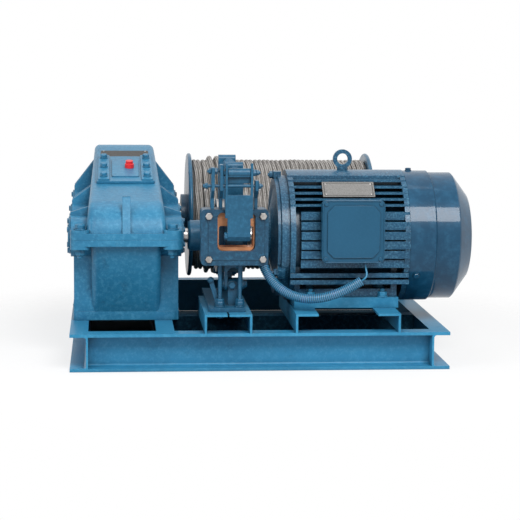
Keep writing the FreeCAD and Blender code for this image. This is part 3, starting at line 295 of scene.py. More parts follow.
wire = {
    "shade": srgb(150, 146, 142),
    "colour": srgb(198, 195, 191),
    "light": srgb(226, 223, 220),
    "groove": srgb(96, 92, 88),
    "grease": srgb(84, 78, 74),
    "strands": 6,
    "wires": 42,
    "wireTwist": 9,
    "metallic": 0.55,
    "rough": 0.42,
    "depth": 0.0016,
}
tape = {
    "shade": srgb(214, 140, 92),
    "colour": srgb(240, 172, 124),
    "seam": srgb(150, 92, 58),
    "turnScale": 120.0,
    "rough": 0.45,
    "coat": 0.3,
    "coatRough": 0.3,
    "depth": 0.0006,
}
plastic = {"shade": srgb(214, 28, 34), "colour": srgb(240, 52, 54), "rough": 0.25, "edge": 0.0012}


def ropeFinish():
    # strands laid round the rope, greased and dusty, with painted shade between strands; U runs
    # along the rope, V round it
    f = Finish("wireRope")
    where = f.place()
    along, around, _ = f.split(f.add("UVMap"))
    strand = (along + around * wire["strands"]).wave()
    wires = (along * wire["wireTwist"] - around * wire["wires"]).wave()
    patches = f.band(f.noise(where, 9.0, 5, 0.7), 0.35, 0.68)
    specks = f.noise(where, 160.0, 3, 0.7)
    metal = f.mix(patches, wire["shade"], wire["colour"])
    metal = f.mix(f.band(specks, 0.45, 0.7) * 0.7, metal, wire["light"])
    # painted shade in the grooves between strands
    colour = f.mix(f.band(strand, 0.0, 0.5), wire["groove"], metal)
    colour = f.mix(wires * 0.25, colour, wire["grease"])
    return f.wear(
        Base_Color=colour,
        Metallic=wire["metallic"],
        Roughness=(specks * 0.25 + wire["rough"]).clamp(0, 1),
        Normal=f.bump(strand * 0.8 + wires * 0.2, 0.9, wire["depth"]),
    )


def hoseFinish(paint):
    # painted conduit, with painted shade in its grooves; U counts its ridges
    f = Finish("hosePaint")
    where = f.place()
    crest = f.split(f.add("UVMap"))[0].wave()
    patch = f.noise(where, 30.0, 4)
    colour = f.mix(patch, paint["shade"], paint["colour"])
    colour = f.mix(f.band(patch, 0.5, 0.7) * paint["wornShare"], colour, paint["worn"])
    # painted shade in the grooves between ridges
    colour = f.mix(f.band(crest, 0.0, 0.55), paint["dark"], colour)
    return f.wear(
        Base_Color=colour,
        Roughness=(patch * 0.2 + paint["rough"]).clamp(0, 1),
        Normal=f.bump(f.noise(where, 240.0, 2), paint["grain"], paint["grainDepth"]),
        Coat_Weight=paint["coat"],
        Coat_Roughness=paint["coatRough"],
    )


def coilFinish():
    # varnished tape wound round the coil
    f = Finish("coilTape")
    where = f.place()
    wires = {"Vector": where, "Scale": tape["turnScale"], "Distortion": 1.5}
    weave = f.add("TexWave", {"bands_direction": "X"}, wires)
    stain = f.noise(where, 18.0, 5, 0.6)
    fibre = f.noise(where, 300.0, 2)
    colour = f.mix(f.band(stain, 0.35, 0.7), tape["shade"], tape["colour"])
    colour = f.mix(weave * 0.2, colour, tape["seam"])
    return f.wear(
        Base_Color=colour,
        Roughness=(stain * 0.2 + tape["rough"]).clamp(0, 1),
        Normal=f.bump(weave * 0.6 + fibre * 0.4, 0.5, tape["depth"]),
        Coat_Weight=tape["coat"],
        Coat_Roughness=tape["coatRough"],
    )


def plasticFinish():
    f = Finish("redPlastic")
    where = f.place()
    soft = f.noise(where, 60.0, 3)
    smooth = f.add("Bevel", wires={"Radius": plastic["edge"]})
    return f.wear(
        Base_Color=f.mix(soft, plastic["shade"], plastic["colour"]),
        Roughness=(soft * 0.15 + plastic["rough"]).clamp(0, 1),
        Normal=f.bump(f.noise(where, 500.0, 2), 0.2, 0.0003, smooth),
    )


def metalFinish(name, metal):
    # bare metal with fine scratches and stains
    f = Finish(name)
    where = f.place()
    stretched = f.add("Mapping", wires={"Vector": where, "Scale": metal["scratch"]})
    scratch = f.noise(stretched, 60.0, 4, 0.6)
    stain = f.noise(where, metal["stainScale"], 6, 0.65)
    colour = f.mix(f.band(stain, 0.4, 0.72), metal["colour"], metal["stain"])
    colour = f.mix(scratch * 0.25, colour, metal["light"])
    rough = metal["rough"] + (scratch - 0.5) * 0.2 + (stain - 0.5) * 0.2
    normal = f.bump(scratch, 0.25, 0.0003, f.add("Bevel", wires={"Radius": 0.0008}))
    return f.wear(
        Base_Color=colour,
        Metallic=metal["metallic"],
        Roughness=rough.clamp(0.08, 0.9),
        Normal=normal,
    )


steel = {
    "colour": srgb(176, 174, 172),
    "stain": srgb(140, 134, 128),
    "light": srgb(222, 220, 218),
    "scratch": (1.0, 1.0, 20.0),
    "stainScale": 30.0,
    "rough": 0.32,
    "metallic": 0.9,
}
greyPlate = dict(
    steel, colour=srgb(62, 61, 60), stain=srgb(44, 43, 42), light=srgb(84, 82, 80),
    rough=0.55, metallic=0.3, stainScale=140.0,
)
steelPlate = dict(
    steel, colour=srgb(128, 127, 125), stain=srgb(92, 90, 88), light=srgb(158, 157, 155),
    rough=0.55, metallic=0.25, stainScale=320.0,
)

castPaint = paintFinish("castPaint", castEnamel)
beamPaint = paintFinish("beamPaint", beamEnamel)
innerPaint = paintFinish("innerPaint", shadedBeamEnamel)
motorPaint = paintFinish("motorPaint", motorEnamel)
coverPaint = paintFinish("coverPaint", sheetEnamel)
boxPaint = paintFinish("boxPaint", boxEnamel)
brakePaint = paintFinish("brakePaint", brakeEnamel)
yokePaint = paintFinish("yokePaint", yokeEnamel)
drumPaint = paintFinish("drumPaint", drumEnamel)
leadPaint = paintFinish("leadPaint", leadEnamel)
hosePaint = hoseFinish(conduit)
ropeSteel = ropeFinish()
coilTape = coilFinish()
redPlastic = plasticFinish()
bareSteel = metalFinish("bareSteel", steel)
badgeGrey = metalFinish("badgeGrey", greyPlate)
badgeSteel = metalFinish("badgeSteel", steelPlate)

dress = {
    castPaint: [
        "gearbox_lower_case", "gearbox_upper_case", "gearbox_bearing_caps", "inspection_cover",
        "drum_bearing_housing",
    ],
    beamPaint: [
        "left_end_beam", "right_end_beam", "front_beam", "rear_beam", "middle_cross_beam",
        "brake_angle_left", "brake_angle_right", "motor_angle_left",
        "motor_angle_right", "motor_bedplate", "drum_bearing_pedestal",
    ],
    innerPaint: ["intermediate_beam"],
    motorPaint: ["motor_frame", "motor_end_shield", "lifting_eye", "lead_gland"],
    coverPaint: ["motor_fan_cover"],
    boxPaint: ["terminal_box", "terminal_box_cover"],
    yokePaint: ["magnet_yoke"],
    brakePaint: [
        "brake_base", "brake_pins", "brake_front_arm", "brake_rear_arm", "brake_front_shoe",
        "brake_rear_shoe", "brake_rod", "brake_spring", "magnet_studs",
        "magnet_armature", "armature_pin", "armature_brackets", "coupling_hub", "hose_gland",
    ],
    drumPaint: ["drum_flange_left", "drum_flange_right", "drum_barrel"],
    hosePaint: ["conduit_hose"],
    leadPaint: ["motor_lead"],
    ropeSteel: ["rope_winding"],
    coilTape: ["magnet_coil"],
    redPlastic: ["breather_plug"],
    bareSteel: ["input_shaft", "brake_wheel", "drum_shaft"],
    badgeGrey: ["gearbox_nameplate"],
    badgeSteel: ["motor_nameplate"],
}
for material, names in dress.items():
    for name in names:
        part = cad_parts[name]
        part.data.materials.clear()
        part.data.materials.append(material)
        for face in part.data.polygons:
            face.material_index = 0
print("winch: materials on every part")


def putInScene(name, data):
    thing = bpy.data.objects.new(name, data)
    bpy.context.scene.collection.objects.link(thing)
    return thing


def addPiece(name, data, material, body):
    piece = putInScene(name, data)
    data.materials.append(material)
    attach(piece, body)
    return piece


def meshOf(name, shape, smooth=False):
    bmesh.ops.recalc_face_normals(shape, faces=shape.faces)
    for face in shape.faces:
        face.smooth = smooth
    mesh = bpy.data.meshes.new(name)
    shape.to_mesh(mesh)
    shape.free()
    return mesh


def ringsToShape(shape, rings, closed=False):
    # skins a list of rings of points, each ring closed on itself
    loops = [[shape.verts.new(point) for point in ring] for ring in rings]
    count = len(loops[0])
    pairs = list(zip(loops, loops[1:]))
    if closed:
        pairs.append((loops[-1], loops[0]))
    for low, high in pairs:
        for i in range(count):
            j = (i + 1) % count
            shape.faces.new((low[i], low[j], high[j], high[i]))
    if not closed:
        shape.faces.new(list(reversed(loops[0])))
        shape.faces.new(loops[-1])


def squareTo(axis):
    # the axis and two directions square to it
    axis = Vector(axis).normalized()
    across = axis.orthogonal().normalized()
    return axis, across, axis.cross(across)


def circle(centre, across, other, radius, sides, start=0.0):
    # points round a centre, in the plane of two directions
    points = []
    for i in range(sides):
        angle = start + 2 * math.pi * i / sides
        points.append(centre + (across * math.cos(angle) + other * math.sin(angle)) * radius)
    return points


def addTurned(shape, base, way, profile, sides, start=0.0, closed=False):
    # a turned solid from (distance along, radius) pairs
    axis, across, other = squareTo(way)
    rings = []
    for along, radius in profile:
        rings.append(circle(Vector(base) + axis * along, across, other, radius, sides, start))
    ringsToShape(shape, rings, closed)


hexagon = {
    "rim": 1.18,  # washer over head, corner to corner
    "worn": 0.97,
    "crown": 0.86,
    "shank": 0.29,  # thread radius over the width across flats
}


def hexBolt(across, height, washer=0.0, stub=0.0, turn=0.3):
    # width across flats, height of the head, its washer and the thread end that shows
    return {"across": across, "height": height, "washer": washer, "stub": stub, "turn": turn}


def addBolt(shape, base, axis, bolt):
    # washer, hexagon head with a chamfered top, and a thread end where the bolt has one
    half = bolt["across"] / 2 / math.cos(math.pi / 6)
    washer = bolt["washer"]
    height = bolt["height"]
    top = washer + height
    if washer:
        rim = half * hexagon["rim"]
        worn = rim * hexagon["worn"]
        addTurned(shape, base, axis, [(0, worn), (washer * 0.4, rim), (washer, worn)], 20)
    head = [
        (washer, half * hexagon["worn"]),
        (washer + height * 0.1, half),
        (washer + height * 0.8, half),
        (top, half * hexagon["crown"]),
    ]
    addTurned(shape, base, axis, head, 6, bolt["turn"])
    stub = bolt["stub"]
    if stub:
        radius = bolt["across"] * hexagon["shank"]
        thread = [(top, radius), (top + stub * 0.85, radius), (top + stub, radius * 0.8)]
        addTurned(shape, base, axis, thread, 12)


# a shape, or a row of bolts, made into one piece
def shapePiece(name, shape, material, body, slotName, smooth=False):
    return addPiece(name, meshOf(name, shape, smooth), material, body)


def boltPiece(name, spots, bolt, material, body, slotName):
    shape = bmesh.new()
    for base, axis in spots:
        addBolt(shape, base, axis, bolt)
    return shapePiece(name, shape, material, body, slotName)


def upright(x, y, z, way=1):
    # a bolt that stands up, or hangs down where way is -1
    return (x, y, z), (0, 0, way)


def corners(low, high, inset):
    sides, ends = ((a + inset, b - inset) for a, b in zip(low[:2], high[:2]))
    return [(x, y) for x in sides for y in ends]


class Slant:
    # a flat place that leans back: points and its normal from distances across, up and out of it
    def __init__(self, node, degrees, thickness):
        low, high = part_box(node)
        angle = math.radians(degrees)
        sine, cosine = math.sin(angle), math.cos(angle)
        self.origin = Vector(((low.x + high.x) / 2, low.y + thickness * sine, low.z))
        self.normal = Vector((0, -sine, cosine))
        self.rise = Vector((0, cosine, sine))
        self.halfWidth = (high.x - low.x) / 2

    def at(self, across, up, out):
        return self.origin + Vector((across, 0, 0)) + self.rise * up + self.normal * out


def middleOf(node):
    low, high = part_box(node)
    return (low.x + high.x) / 2, (low.y + high.y) / 2, (low.z + high.z) / 2


def polar(centre, radius, degrees):
    angle = math.radians(degrees)
    return centre[0] + radius * math.cos(angle), centre[1] + radius * math.sin(angle)


def addSlab(shape, points, thickness, normal):
    # a flat plate from its outline and thickness
    lift = Vector(normal) * thickness
    ringsToShape(shape, [[Vector(p) for p in points], [Vector(p) + lift for p in points]])


def closedTube(shape, points, radius, sides=8):
    # a bead that runs round a closed flat line
    rings = []
    plane = (points[1] - points[0]).cross(points[2] - points[1]).normalized()
    for i, point in enumerate(points):
        along = (points[(i + 1) % len(points)] - points[i - 1]).normalized()
        rings.append(circle(point, plane, along.cross(plane), radius, sides))
    ringsToShape(shape, rings, closed=True)


def addRivets(name, plate, rivets):
    # round heads near the corners of a sloping plate
    wide = plate.halfWidth - rivets["inset"]
    shape = bmesh.new()
    for across in (-wide, wide):
        for up in rivets["rows"]:
            spot = plate.at(across, up, plateThick)
            addTurned(shape, spot, plate.normal, rivets["head"], 12)
    shapePiece(name, shape, bareSteel, "frame", "bare_steel", smooth=True)


def roundedLoop(x0, z0, x1, z1, radius, y, steps=6):
    # points round an upright rectangle with rounded corners
    points = []
    for cx, cz, start in ((x1, z0, -90), (x1, z1, 0), (x0, z1, 90), (x0, z0, 180)):
        cx += -radius if cx == x1 else radius
        cz += -radius if cz == z1 else radius
        for i in range(steps + 1):
            u, v = polar((cx, cz), radius, start + 90 * i / steps)
            points.append(Vector((u, y, v)))
    return points


plateThick = 0.002
gear = {
    "slope": 11.86,
    "earInset": 0.026,
    "earThick": 0.026,
    "earBolt": hexBolt(0.024, 0.012, 0.003),
    "earNut": hexBolt(0.024, 0.014, 0.003, 0.008),
    "sideInset": 0.013,
    "sideThick": 0.0175,
    "sideRows": (-0.165, 0.107),
    "sideBolt": hexBolt(0.018, 0.01, 0.0025),
    "coverBolt": hexBolt(0.017, 0.009, 0.0025),
    "coverRows": (0.034, 0.126, 0.218),
    "coverAcross": 0.061,
    "coverThick": 0.008,
    "padTop": 0.013,
    "footAcross": 0.13,
    "footThick": 0.024,
    "footRows": (-0.183, 0.11, 0.385),
    "footBolt": hexBolt(0.026, 0.014, 0.004, 0.009),
    "capAxis": 0.33,
    "capRows": ((-0.269, 0.049, 0.021), (-0.051, 0.064, 0.0), (0.276, 0.075, 0.0355)),
    "capInset": 0.01,
    "capThick": 0.004,
    "capBevel": (0.0012, 0.0015),
    "capBoss": (0.004, 0.55, 0.5),  # height, then its foot and top as shares of the cap
    "capCentre": 0.004,
    "capCircle": 0.82,
    "capCount": 6,
    "capBolt": hexBolt(0.013, 0.0045, 0.0012),
    "rivets": {
        "inset": 0.008,
        "rows": (0.008, 0.068),
        "head": ((0, 0.0032), (0.0012, 0.00272), (0.002, 0.00128)),
    },
}


def addGearboxFittings():
    onGearbox = (castPaint, "frame", "gearbox_paint")
    low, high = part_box("gearbox_upper_case")
    middle = (low.x + high.x) / 2
    ears = corners(low, high, gear["earInset"])
    thick = gear["earThick"]
    spots = [upright(x, y, low.z + thick) for x, y in ears]
    boltPiece("splitBolts", spots, gear["earBolt"], *onGearbox)
    spots = [upright(x, y, low.z - thick, -1) for x, y in ears]
    boltPiece("splitNuts", spots, gear["earNut"], *onGearbox)
    spots = []
    thick = gear["sideThick"]
    for x in (low.x + gear["sideInset"], high.x - gear["sideInset"]):
        for y in gear["sideRows"]:
            spots += [upright(x, y, low.z + thick), upright(x, y, low.z - thick, -1)]
    boltPiece("sideBolts", spots, gear["sideBolt"], *onGearbox)
    slope = Slant("inspection_cover", gear["slope"], gear["coverThick"])
    spots = []
    for across in (-gear["coverAcross"], gear["coverAcross"]):
        for row in gear["coverRows"]:
            spots.append((slope.at(across, row, gear["padTop"]), slope.normal))
    boltPiece("coverBolts", spots, gear["coverBolt"], *onGearbox)
    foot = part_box("gearbox_lower_case")[0].z + gear["footThick"]
    spots = []
    for x in (middle - gear["footAcross"], middle + gear["footAcross"]):
        spots += [upright(x, y, foot) for y in gear["footRows"]]
    boltPiece("gearboxFootBolts", spots, gear["footBolt"], *onGearbox)
    plate = Slant("gearbox_nameplate", gear["slope"], plateThick)
    addRivets("gearPlateRivets", plate, gear["rivets"])


def addBearingCaps():
    # the six covers again, thinner, with their screws standing no prouder than the covers did
    low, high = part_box("gearbox_bearing_caps")
    shape = bmesh.new()
    thin = gear["capThick"]
    lip, bevel = gear["capBevel"]
    boss, bossFoot, bossTop = gear["capBoss"]
    for y, radius, bore in gear["capRows"]:
        for side, face in ((-1, low.x + gear["capInset"]), (1, high.x - gear["capInset"])):
            hole = bore if side > 0 else 0.0
            profile = [(0, radius), (thin, radius), (thin + lip, radius - bevel)]
            if hole:
                profile += [(thin + lip, hole), (0, hole)]
            else:
                profile += [(thin + lip, radius * bossFoot), (thin + boss, radius * bossTop)]
                profile.append((thin + boss, gear["capCentre"]))
            base, way = (face, y, gear["capAxis"]), (side, 0, 0)
            addTurned(shape, base, way, profile, 48, closed=bool(hole))
            for i in range(gear["capCount"]):
                degrees = (i + 0.5) * 360 / gear["capCount"]
                u, v = polar(base[1:], radius * gear["capCircle"], degrees)
                addBolt(shape, (face + thin * side, u, v), way, gear["capBolt"])
    caps = shapePiece("bearingCovers", shape, castPaint, "frame", "gearbox_paint")
    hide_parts("gearbox_bearing_caps")


motor = {
    "axis": (-0.269, 0.33),  # of the shaft, in y and z
    "earAngles": (90, 210, 330),
    "earRadius": 0.167,
    "earBack": 0.032,
    "earBolt": hexBolt(0.017, 0.009, 0.0025, 0.004),
    "noseAngles": (45, 135, 225, 315),
    "noseRadius": 0.047,
    "noseBolt": hexBolt(0.013, 0.005),
    "coverAngles": (90, 210, 330),
    "coverRadius": 0.1785,
    "coverBand": 0.02,
    "coverScrew": hexBolt(0.014, 0.006, 0.002),
    "footMiddle": 0.1535,
    "footPitch": 0.097,
    "footSpread": 0.098,
    "footTop": 0.2,
    "footBolt": hexBolt(0.024, 0.012, 0.004, 0.012),
    "toeAcross": (0.0445, 0.24),
    "toeIn": 0.0125,
    "toeBolt": hexBolt(0.022, 0.012, 0.003, 0.009, turn=0.1),
    "lidThick": 0.004,
    "lidCorner": 0.013,
    "lidBead": 0.002,
    "lidInset": 0.0105,
    "lidScrew": ((0, 0.0055), (0.0022, 0.0055), (0.003, 0.004125)),
    "panelInset": 0.015,
    "panelCut": 0.017,
    "panelOut": 0.0012,
    "panelBead": 0.0015,
    "plateLean": 41.0,
    "borderInset": 0.004,
    "borderTop": 0.051,
    "borderLine": 0.0015,
    "borderRise": 0.0003,
    "rivets": {
        "inset": 0.009,
        "rows": (0.0085, 0.0465),
        "head": ((0, 0.0028), (0.001, 0.0024), (0.0016, 0.001)),
    },
}


def facingLeft(x, radius, angles):
    # spots round the shaft on a face that looks to the left
    spots = []
    for degrees in angles:
        spots.append(((x, *polar(motor["axis"], radius, degrees)), (-1, 0, 0)))
    return spots


def addMotorFittings():
    onMotor = ("frame", "motor_paint")
    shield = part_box("motor_end_shield")
    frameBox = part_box("motor_frame")
    spots = facingLeft(shield[1].x - motor["earBack"], motor["earRadius"], motor["earAngles"])
    boltPiece("shieldBolts", spots, motor["earBolt"], motorPaint, *onMotor)
    spots = facingLeft(shield[0].x, motor["noseRadius"], motor["noseAngles"])
    boltPiece("bearingScrews", spots, motor["noseBolt"], motorPaint, *onMotor)
    spots = []
    for degrees in motor["coverAngles"]:
        y, z = polar(motor["axis"], motor["coverRadius"], degrees)
        out = (0, *polar((0, 0), 1, degrees))
        spots.append(((frameBox[1].x + motor["coverBand"], y, z), out))
    boltPiece("fanCoverScrews", spots, motor["coverScrew"], coverPaint, *onMotor)
    middle = frameBox[0].x + motor["footMiddle"]
    spots = []
    for x in (middle - motor["footPitch"], middle + motor["footPitch"]):
        for side in (-1, 1):
            y = motor["axis"][0] + motor["footSpread"] * side
            spots.append(upright(x, y, motor["footTop"]))
    boltPiece("motorFootBolts", spots, motor["footBolt"], beamPaint, *onMotor)
    low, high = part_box("motor_bedplate")
    spots = [upright(low.x + x, low.y + motor["toeIn"], high.z) for x in motor["toeAcross"]]
    boltPiece("motorToeBolts", spots, motor["toeBolt"], beamPaint, *onMotor)
    addTerminalTrim()
    addMotorPlateTrim()


def addTerminalTrim():
    # the rolled rim of the lid, the line pressed into it and its painted screws
    low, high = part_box("terminal_box_cover")
    face = low.y + motor["lidThick"]
    bead = motor["lidBead"]
    edges = (low.x + bead, low.z + bead, high.x - bead, high.z - bead)
    shape = bmesh.new()
    closedTube(shape, roundedLoop(*edges, motor["lidCorner"], face), bead)
    wide = (high.x - low.x) / 2 - motor["panelInset"]
    tall = (high.z - low.z) / 2 - motor["panelInset"]
    cut = motor["panelCut"]
    middle = Vector(((low.x + high.x) / 2, low.y + motor["panelOut"], (low.z + high.z) / 2))
    panel = []
    for u, v in (
        (wide - cut, -tall), (wide, -tall + cut), (wide, tall - cut), (wide - cut, tall),
        (-wide + cut, tall), (-wide, tall - cut), (-wide, -tall + cut), (-wide + cut, -tall),
    ):
        panel.append(middle + Vector((u, 0, v)))
    closedTube(shape, panel, motor["panelBead"])
    shapePiece("lidBeads", shape, boxPaint, "frame", "motor_paint", smooth=True)
    shape = bmesh.new()
    for x, z in corners((low.x, low.z), (high.x, high.z), motor["lidInset"]):
        addTurned(shape, (x, face, z), (0, -1, 0), motor["lidScrew"], 18)
    shapePiece("lidScrews", shape, boxPaint, "frame", "motor_paint")


def addMotorPlateTrim():
    plate = Slant("motor_nameplate", motor["plateLean"], plateThick)
    low, high = motor["borderInset"], motor["borderTop"]
    line = motor["borderLine"]
    edge = plate.halfWidth - low
    shape = bmesh.new()
    for u0, v0, u1, v1 in (
        (-edge, low, edge, low + line), (-edge, high - line, edge, high),
        (-edge, low, -edge + line, high), (edge - line, low, edge, high),
    ):
        strip = [plate.at(u, v, plateThick) for u, v in ((u0, v0), (u1, v0), (u1, v1), (u0, v1))]
        addSlab(shape, strip, motor["borderRise"], plate.normal)
    shapePiece("motorPlateBorder", shape, badgeGrey, "frame", "grey_plate")
    addRivets("motorPlateRivets", plate, motor["rivets"])


brake = {
    "yokeBolt": hexBolt(0.0172, 0.009),
    "yokeInsetX": 0.0145,
    "yokeStep": 0.006,
    "yokeFace": 0.002,
    "yokeInsetLow": 0.0165,
    "yokeInsetHigh": 0.018,
    "studNut": hexBolt(0.021, 0.011, 0.003),
    "lockNut": hexBolt(0.019, 0.008),
    "rodNut": hexBolt(0.02, 0.01, 0.002),
    "pinNut": hexBolt(0.013, 0.006, 0.0015, 0.004),
    "armNut": hexBolt(0.017, 0.008),
    "cheekNut": hexBolt(0.015, 0.0048),
    "studInset": 0.012,
    "studRadius": 0.0053,
    "studRoot": 0.0047,
    "threadSpan": (0.02, 0.048),
    "threadPitch": 0.0022,
    "threadTurns": 12,
    "lockNutUp": 0.0135,
    "shelfNutDown": 0.0165,
    "rodFront": (0.0055, 0.016),  # one nut from the arm, one from the end of the rod
    "rodRear": (0.028, 0.016),  # both from the end of the rod
    "pinReach": 0.0125,
    "boss": 0.0125,
    "bossThick": 0.004,
    "bossAside": 0.0135,
    "bossBack": 0.0045,
    "linkEnds": ((-0.012, 0.07), (0.006, 0.011)),
    "linkHalf": 0.006,
    "linkThick": 0.005,
    "crossBoltIn": 0.0125,
    "crossBoltDown": 0.017,
    "hingePlate": 0.008,
    "hingeGap": 0.014,
    "crossBolt": 0.0035,
    "cheek": 0.006,
    "rollerIn": 0.0113,
    "rollerRadius": 0.0112,
    "rollerEnd": 0.0065,
    "outerNut": 0.008,
    "tongueNut": (-0.002, 0.014),
    "webGap": 0.001,
    "webTop": 0.0118,
    "webThick": 0.003,
    "pinNutIn": (0.0075, 0.012),
    "splitPinIn": (0.004, 0.006),
    "splitPinDrop": 0.003,
    "splitPinLeans": (-0.25, 0.2),
    "splitPinLeg": ((0, 0.0011), (0.013, 0.0011), (0.0135, 0.0006)),
    "springTurns": 13,
    "springWire": 0.0021,
    "springRadius": 0.0148,
}
onBrake = (brakePaint, "frame", "brake_paint")


def helix(start, way, length, radius, turns, steps=22):
    # the line of a coil spring
    axis, across, other = squareTo(way)
    points = []
    for i in range(int(turns * steps) + 1):
        share = i / (turns * steps)
        angle = 2 * math.pi * turns * share
        spoke = across * math.cos(angle) + other * math.sin(angle)
        points.append(Vector(start) + axis * (length * share) + spoke * radius)
    return points


def addBrakeFittings():
    low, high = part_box("magnet_yoke")
    spots = []
    for x in (low.x + brake["yokeInsetX"] + brake["yokeStep"], high.x - brake["yokeInsetX"]):
        for z in (low.z + brake["yokeInsetLow"], high.z - brake["yokeInsetHigh"]):
            spots.append(((x, low.y + brake["yokeFace"], z), (0, -1, 0)))
    boltPiece("yokeBolts", spots, brake["yokeBolt"], bareSteel, "frame", "bare_steel")
    addStuds()
    low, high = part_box("brake_spring")
    start = ((low.x + high.x) / 2, low.y, (low.z + high.z) / 2)
    coil = helix(start, (0, 1, 0), high.y - low.y, brake["springRadius"], brake["springTurns"])
    mesh = tubeAlong("brakeSpring", coil, brake["springWire"], sides=8, lay=0.05)
    spring = addPiece("brakeSpring", mesh, brakePaint, "front_arm")
    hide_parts("brake_spring")
    # nuts on the rod, outside both arms
    low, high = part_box("brake_rod")
    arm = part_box("brake_front_arm")[0].y
    x, z = (low.x + high.x) / 2, (low.z + high.z) / 2
    front = (arm + brake["rodFront"][0], low.y + brake["rodFront"][1])
    spots = [((x, y, z), (0, -1, 0)) for y in front]
    spots += [((x, high.y - inset, z), (0, 1, 0)) for inset in brake["rodRear"]]
    boltPiece("rodNuts", spots, brake["rodNut"], brakePaint, "front_arm", "brake_paint")
    addLinkage()
    addArmatureFittings()


def addStuds():
    # studs with their nuts, above the plate and under the shelves
    low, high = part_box("magnet_studs")
    y = (low.y + high.y) / 2
    up, down = (0, 0, 1), (0, 0, -1)
    radius, pitch = brake["studRadius"], brake["threadPitch"]
    start, end = brake["threadSpan"]
    rod = [(0, radius)]
    for i in range(brake["threadTurns"]):
        rod += [(start + pitch * i, radius), (start + pitch * (i + 0.5), brake["studRoot"])]
    rod += [(end, radius), (high.z - low.z, radius)]
    shape = bmesh.new()
    for x in (low.x + brake["studInset"], high.x - brake["studInset"]):
        addTurned(shape, (x, y, low.z), up, rod, 14)
        addBolt(shape, (x, y, low.z), up, brake["studNut"])
        addBolt(shape, (x, y, low.z + brake["lockNutUp"]), up, brake["lockNut"])
        addBolt(shape, (x, y, low.z - brake["shelfNutDown"]), down, brake["studNut"])
    studs = shapePiece("magnetStuds", shape, *onBrake)
    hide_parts("magnet_studs")


def addLinkage():
    # nuts on the arm pins, the round boss over the front pin and the slanted link beside it
    forward = Vector((0, -1, 0))
    low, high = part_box("brake_pins")
    pinZ = (low.z + high.z) / 2
    shape = bmesh.new()
    for y in (low.y + brake["pinReach"], high.y - brake["pinReach"]):
        addBolt(shape, (high.x, y, pinZ), (1, 0, 0), brake["armNut"])
        addBolt(shape, (low.x, y, pinZ), (-1, 0, 0), brake["armNut"])
    middle = middleOf("brake_wheel")[0] + brake["bossAside"]
    front = low.y - brake["bossBack"]
    radius, thick = brake["boss"], brake["bossThick"]
    disc = [(0, radius), (thick - 0.001, radius), (thick, radius - 0.001)]
    addTurned(shape, (middle, front, pinZ), forward, disc, 24)
    addBolt(shape, (middle, front - thick, pinZ), forward, brake["armNut"])
    shapePiece("armPinNuts", shape, *onBrake)
    shape = bmesh.new()
    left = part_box("magnet_studs")[0]
    ends = []
    for across, up in brake["linkEnds"]:
        ends.append(Vector((left.x + across, front - thick, left.z + up)))
    half = brake["linkHalf"]
    run = (ends[1] - ends[0]).normalized()
    side = run.cross(Vector((0, 1, 0))) * half
    outline = []
    for end, way in ((ends[0], -1), (ends[1], 1)):
        for degrees in range(-90, 91, 30):
            turn = math.radians(degrees)
            outline.append(end + run * way * math.cos(turn) * half + side * way * math.sin(turn))
    addSlab(shape, outline, brake["linkThick"], forward)
    for end in ends:
        addBolt(shape, end + forward * brake["linkThick"], forward, brake["pinNut"])
    shapePiece("sideLink", shape, *onBrake)
    # the bolt across the two hinge plates
    low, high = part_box("armature_brackets")
    shape = bmesh.new()
    spot = Vector((low.x, low.y + brake["crossBoltIn"], high.z - brake["crossBoltDown"]))
    addBolt(shape, spot, (-1, 0, 0), brake["pinNut"])
    inside = spot + Vector((brake["hingePlate"], 0, 0))
    shank = [(0, brake["crossBolt"]), (brake["hingeGap"], brake["crossBolt"])]
    addTurned(shape, inside, (1, 0, 0), shank, 12)
    addBolt(shape, inside, (1, 0, 0), brake["armNut"])
    shapePiece("crossBolt", shape, *onBrake)


def addArmatureFittings():
    low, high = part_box("magnet_armature")
    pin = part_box("armature_pin")
    y, z = low.y + brake["rollerIn"], middleOf("brake_rod")[2]
    # roller between the cheeks, with a nut at its end on each side
    end, radius = brake["rollerEnd"], brake["rollerRadius"]
    length = high.x - low.x - 2 * end
    profile = [(0, end), (0.001, radius), (length - 0.001, radius), (length, end)]
    shape = bmesh.new()
    addTurned(shape, (low.x + end, y, z), (1, 0, 0), profile, 28)
    addBolt(shape, (low.x, y, z), (-1, 0, 0), brake["cheekNut"])
    addBolt(shape, (high.x, y, z), (1, 0, 0), brake["armNut"])
    addBolt(shape, (high.x + brake["outerNut"], y, z), (1, 0, 0), brake["pinNut"])
    # the nut low on the tongue, and the web below the roller
    back, up = brake["tongueNut"]
    tongue = Vector((low.x + brake["cheek"], y + back, low.z + up))
    addBolt(shape, tongue, (-1, 0, 0), brake["armNut"])
    left, right = low.x + brake["cheek"], high.x - brake["cheek"]
    top, bottom = z - brake["webTop"], pin[1].z + brake["webGap"]
    back = high.y - brake["webGap"]
    web = [(left, back, bottom), (right, back, bottom), (right, back, top), (left, back, top)]
    addSlab(shape, web, brake["webThick"], (0, -1, 0))
    shapePiece("armatureRoller", shape, brakePaint, "armature", "brake_paint")
    _, pinY, pinZ = middleOf("armature_pin")
    right, left = brake["pinNutIn"]
    spots = [((pin[1].x - right, pinY, pinZ), (1, 0, 0))]
    spots.append(((pin[0].x + left, pinY, pinZ), (-1, 0, 0)))
    boltPiece("pinNuts", spots, brake["pinNut"], *onBrake)
    # a split pin at each end, its legs bent apart
    right, left = brake["splitPinIn"]
    shape = bmesh.new()
    for x in (pin[1].x - right, pin[0].x + left):
        base = (x, pinY, pinZ - brake["splitPinDrop"])
        for lean in brake["splitPinLeans"]:
            addTurned(shape, base, (lean, -0.1, -1), brake["splitPinLeg"], 8)
    shapePiece("splitPins", shape, bareSteel, "frame", "bare_steel", smooth=True)


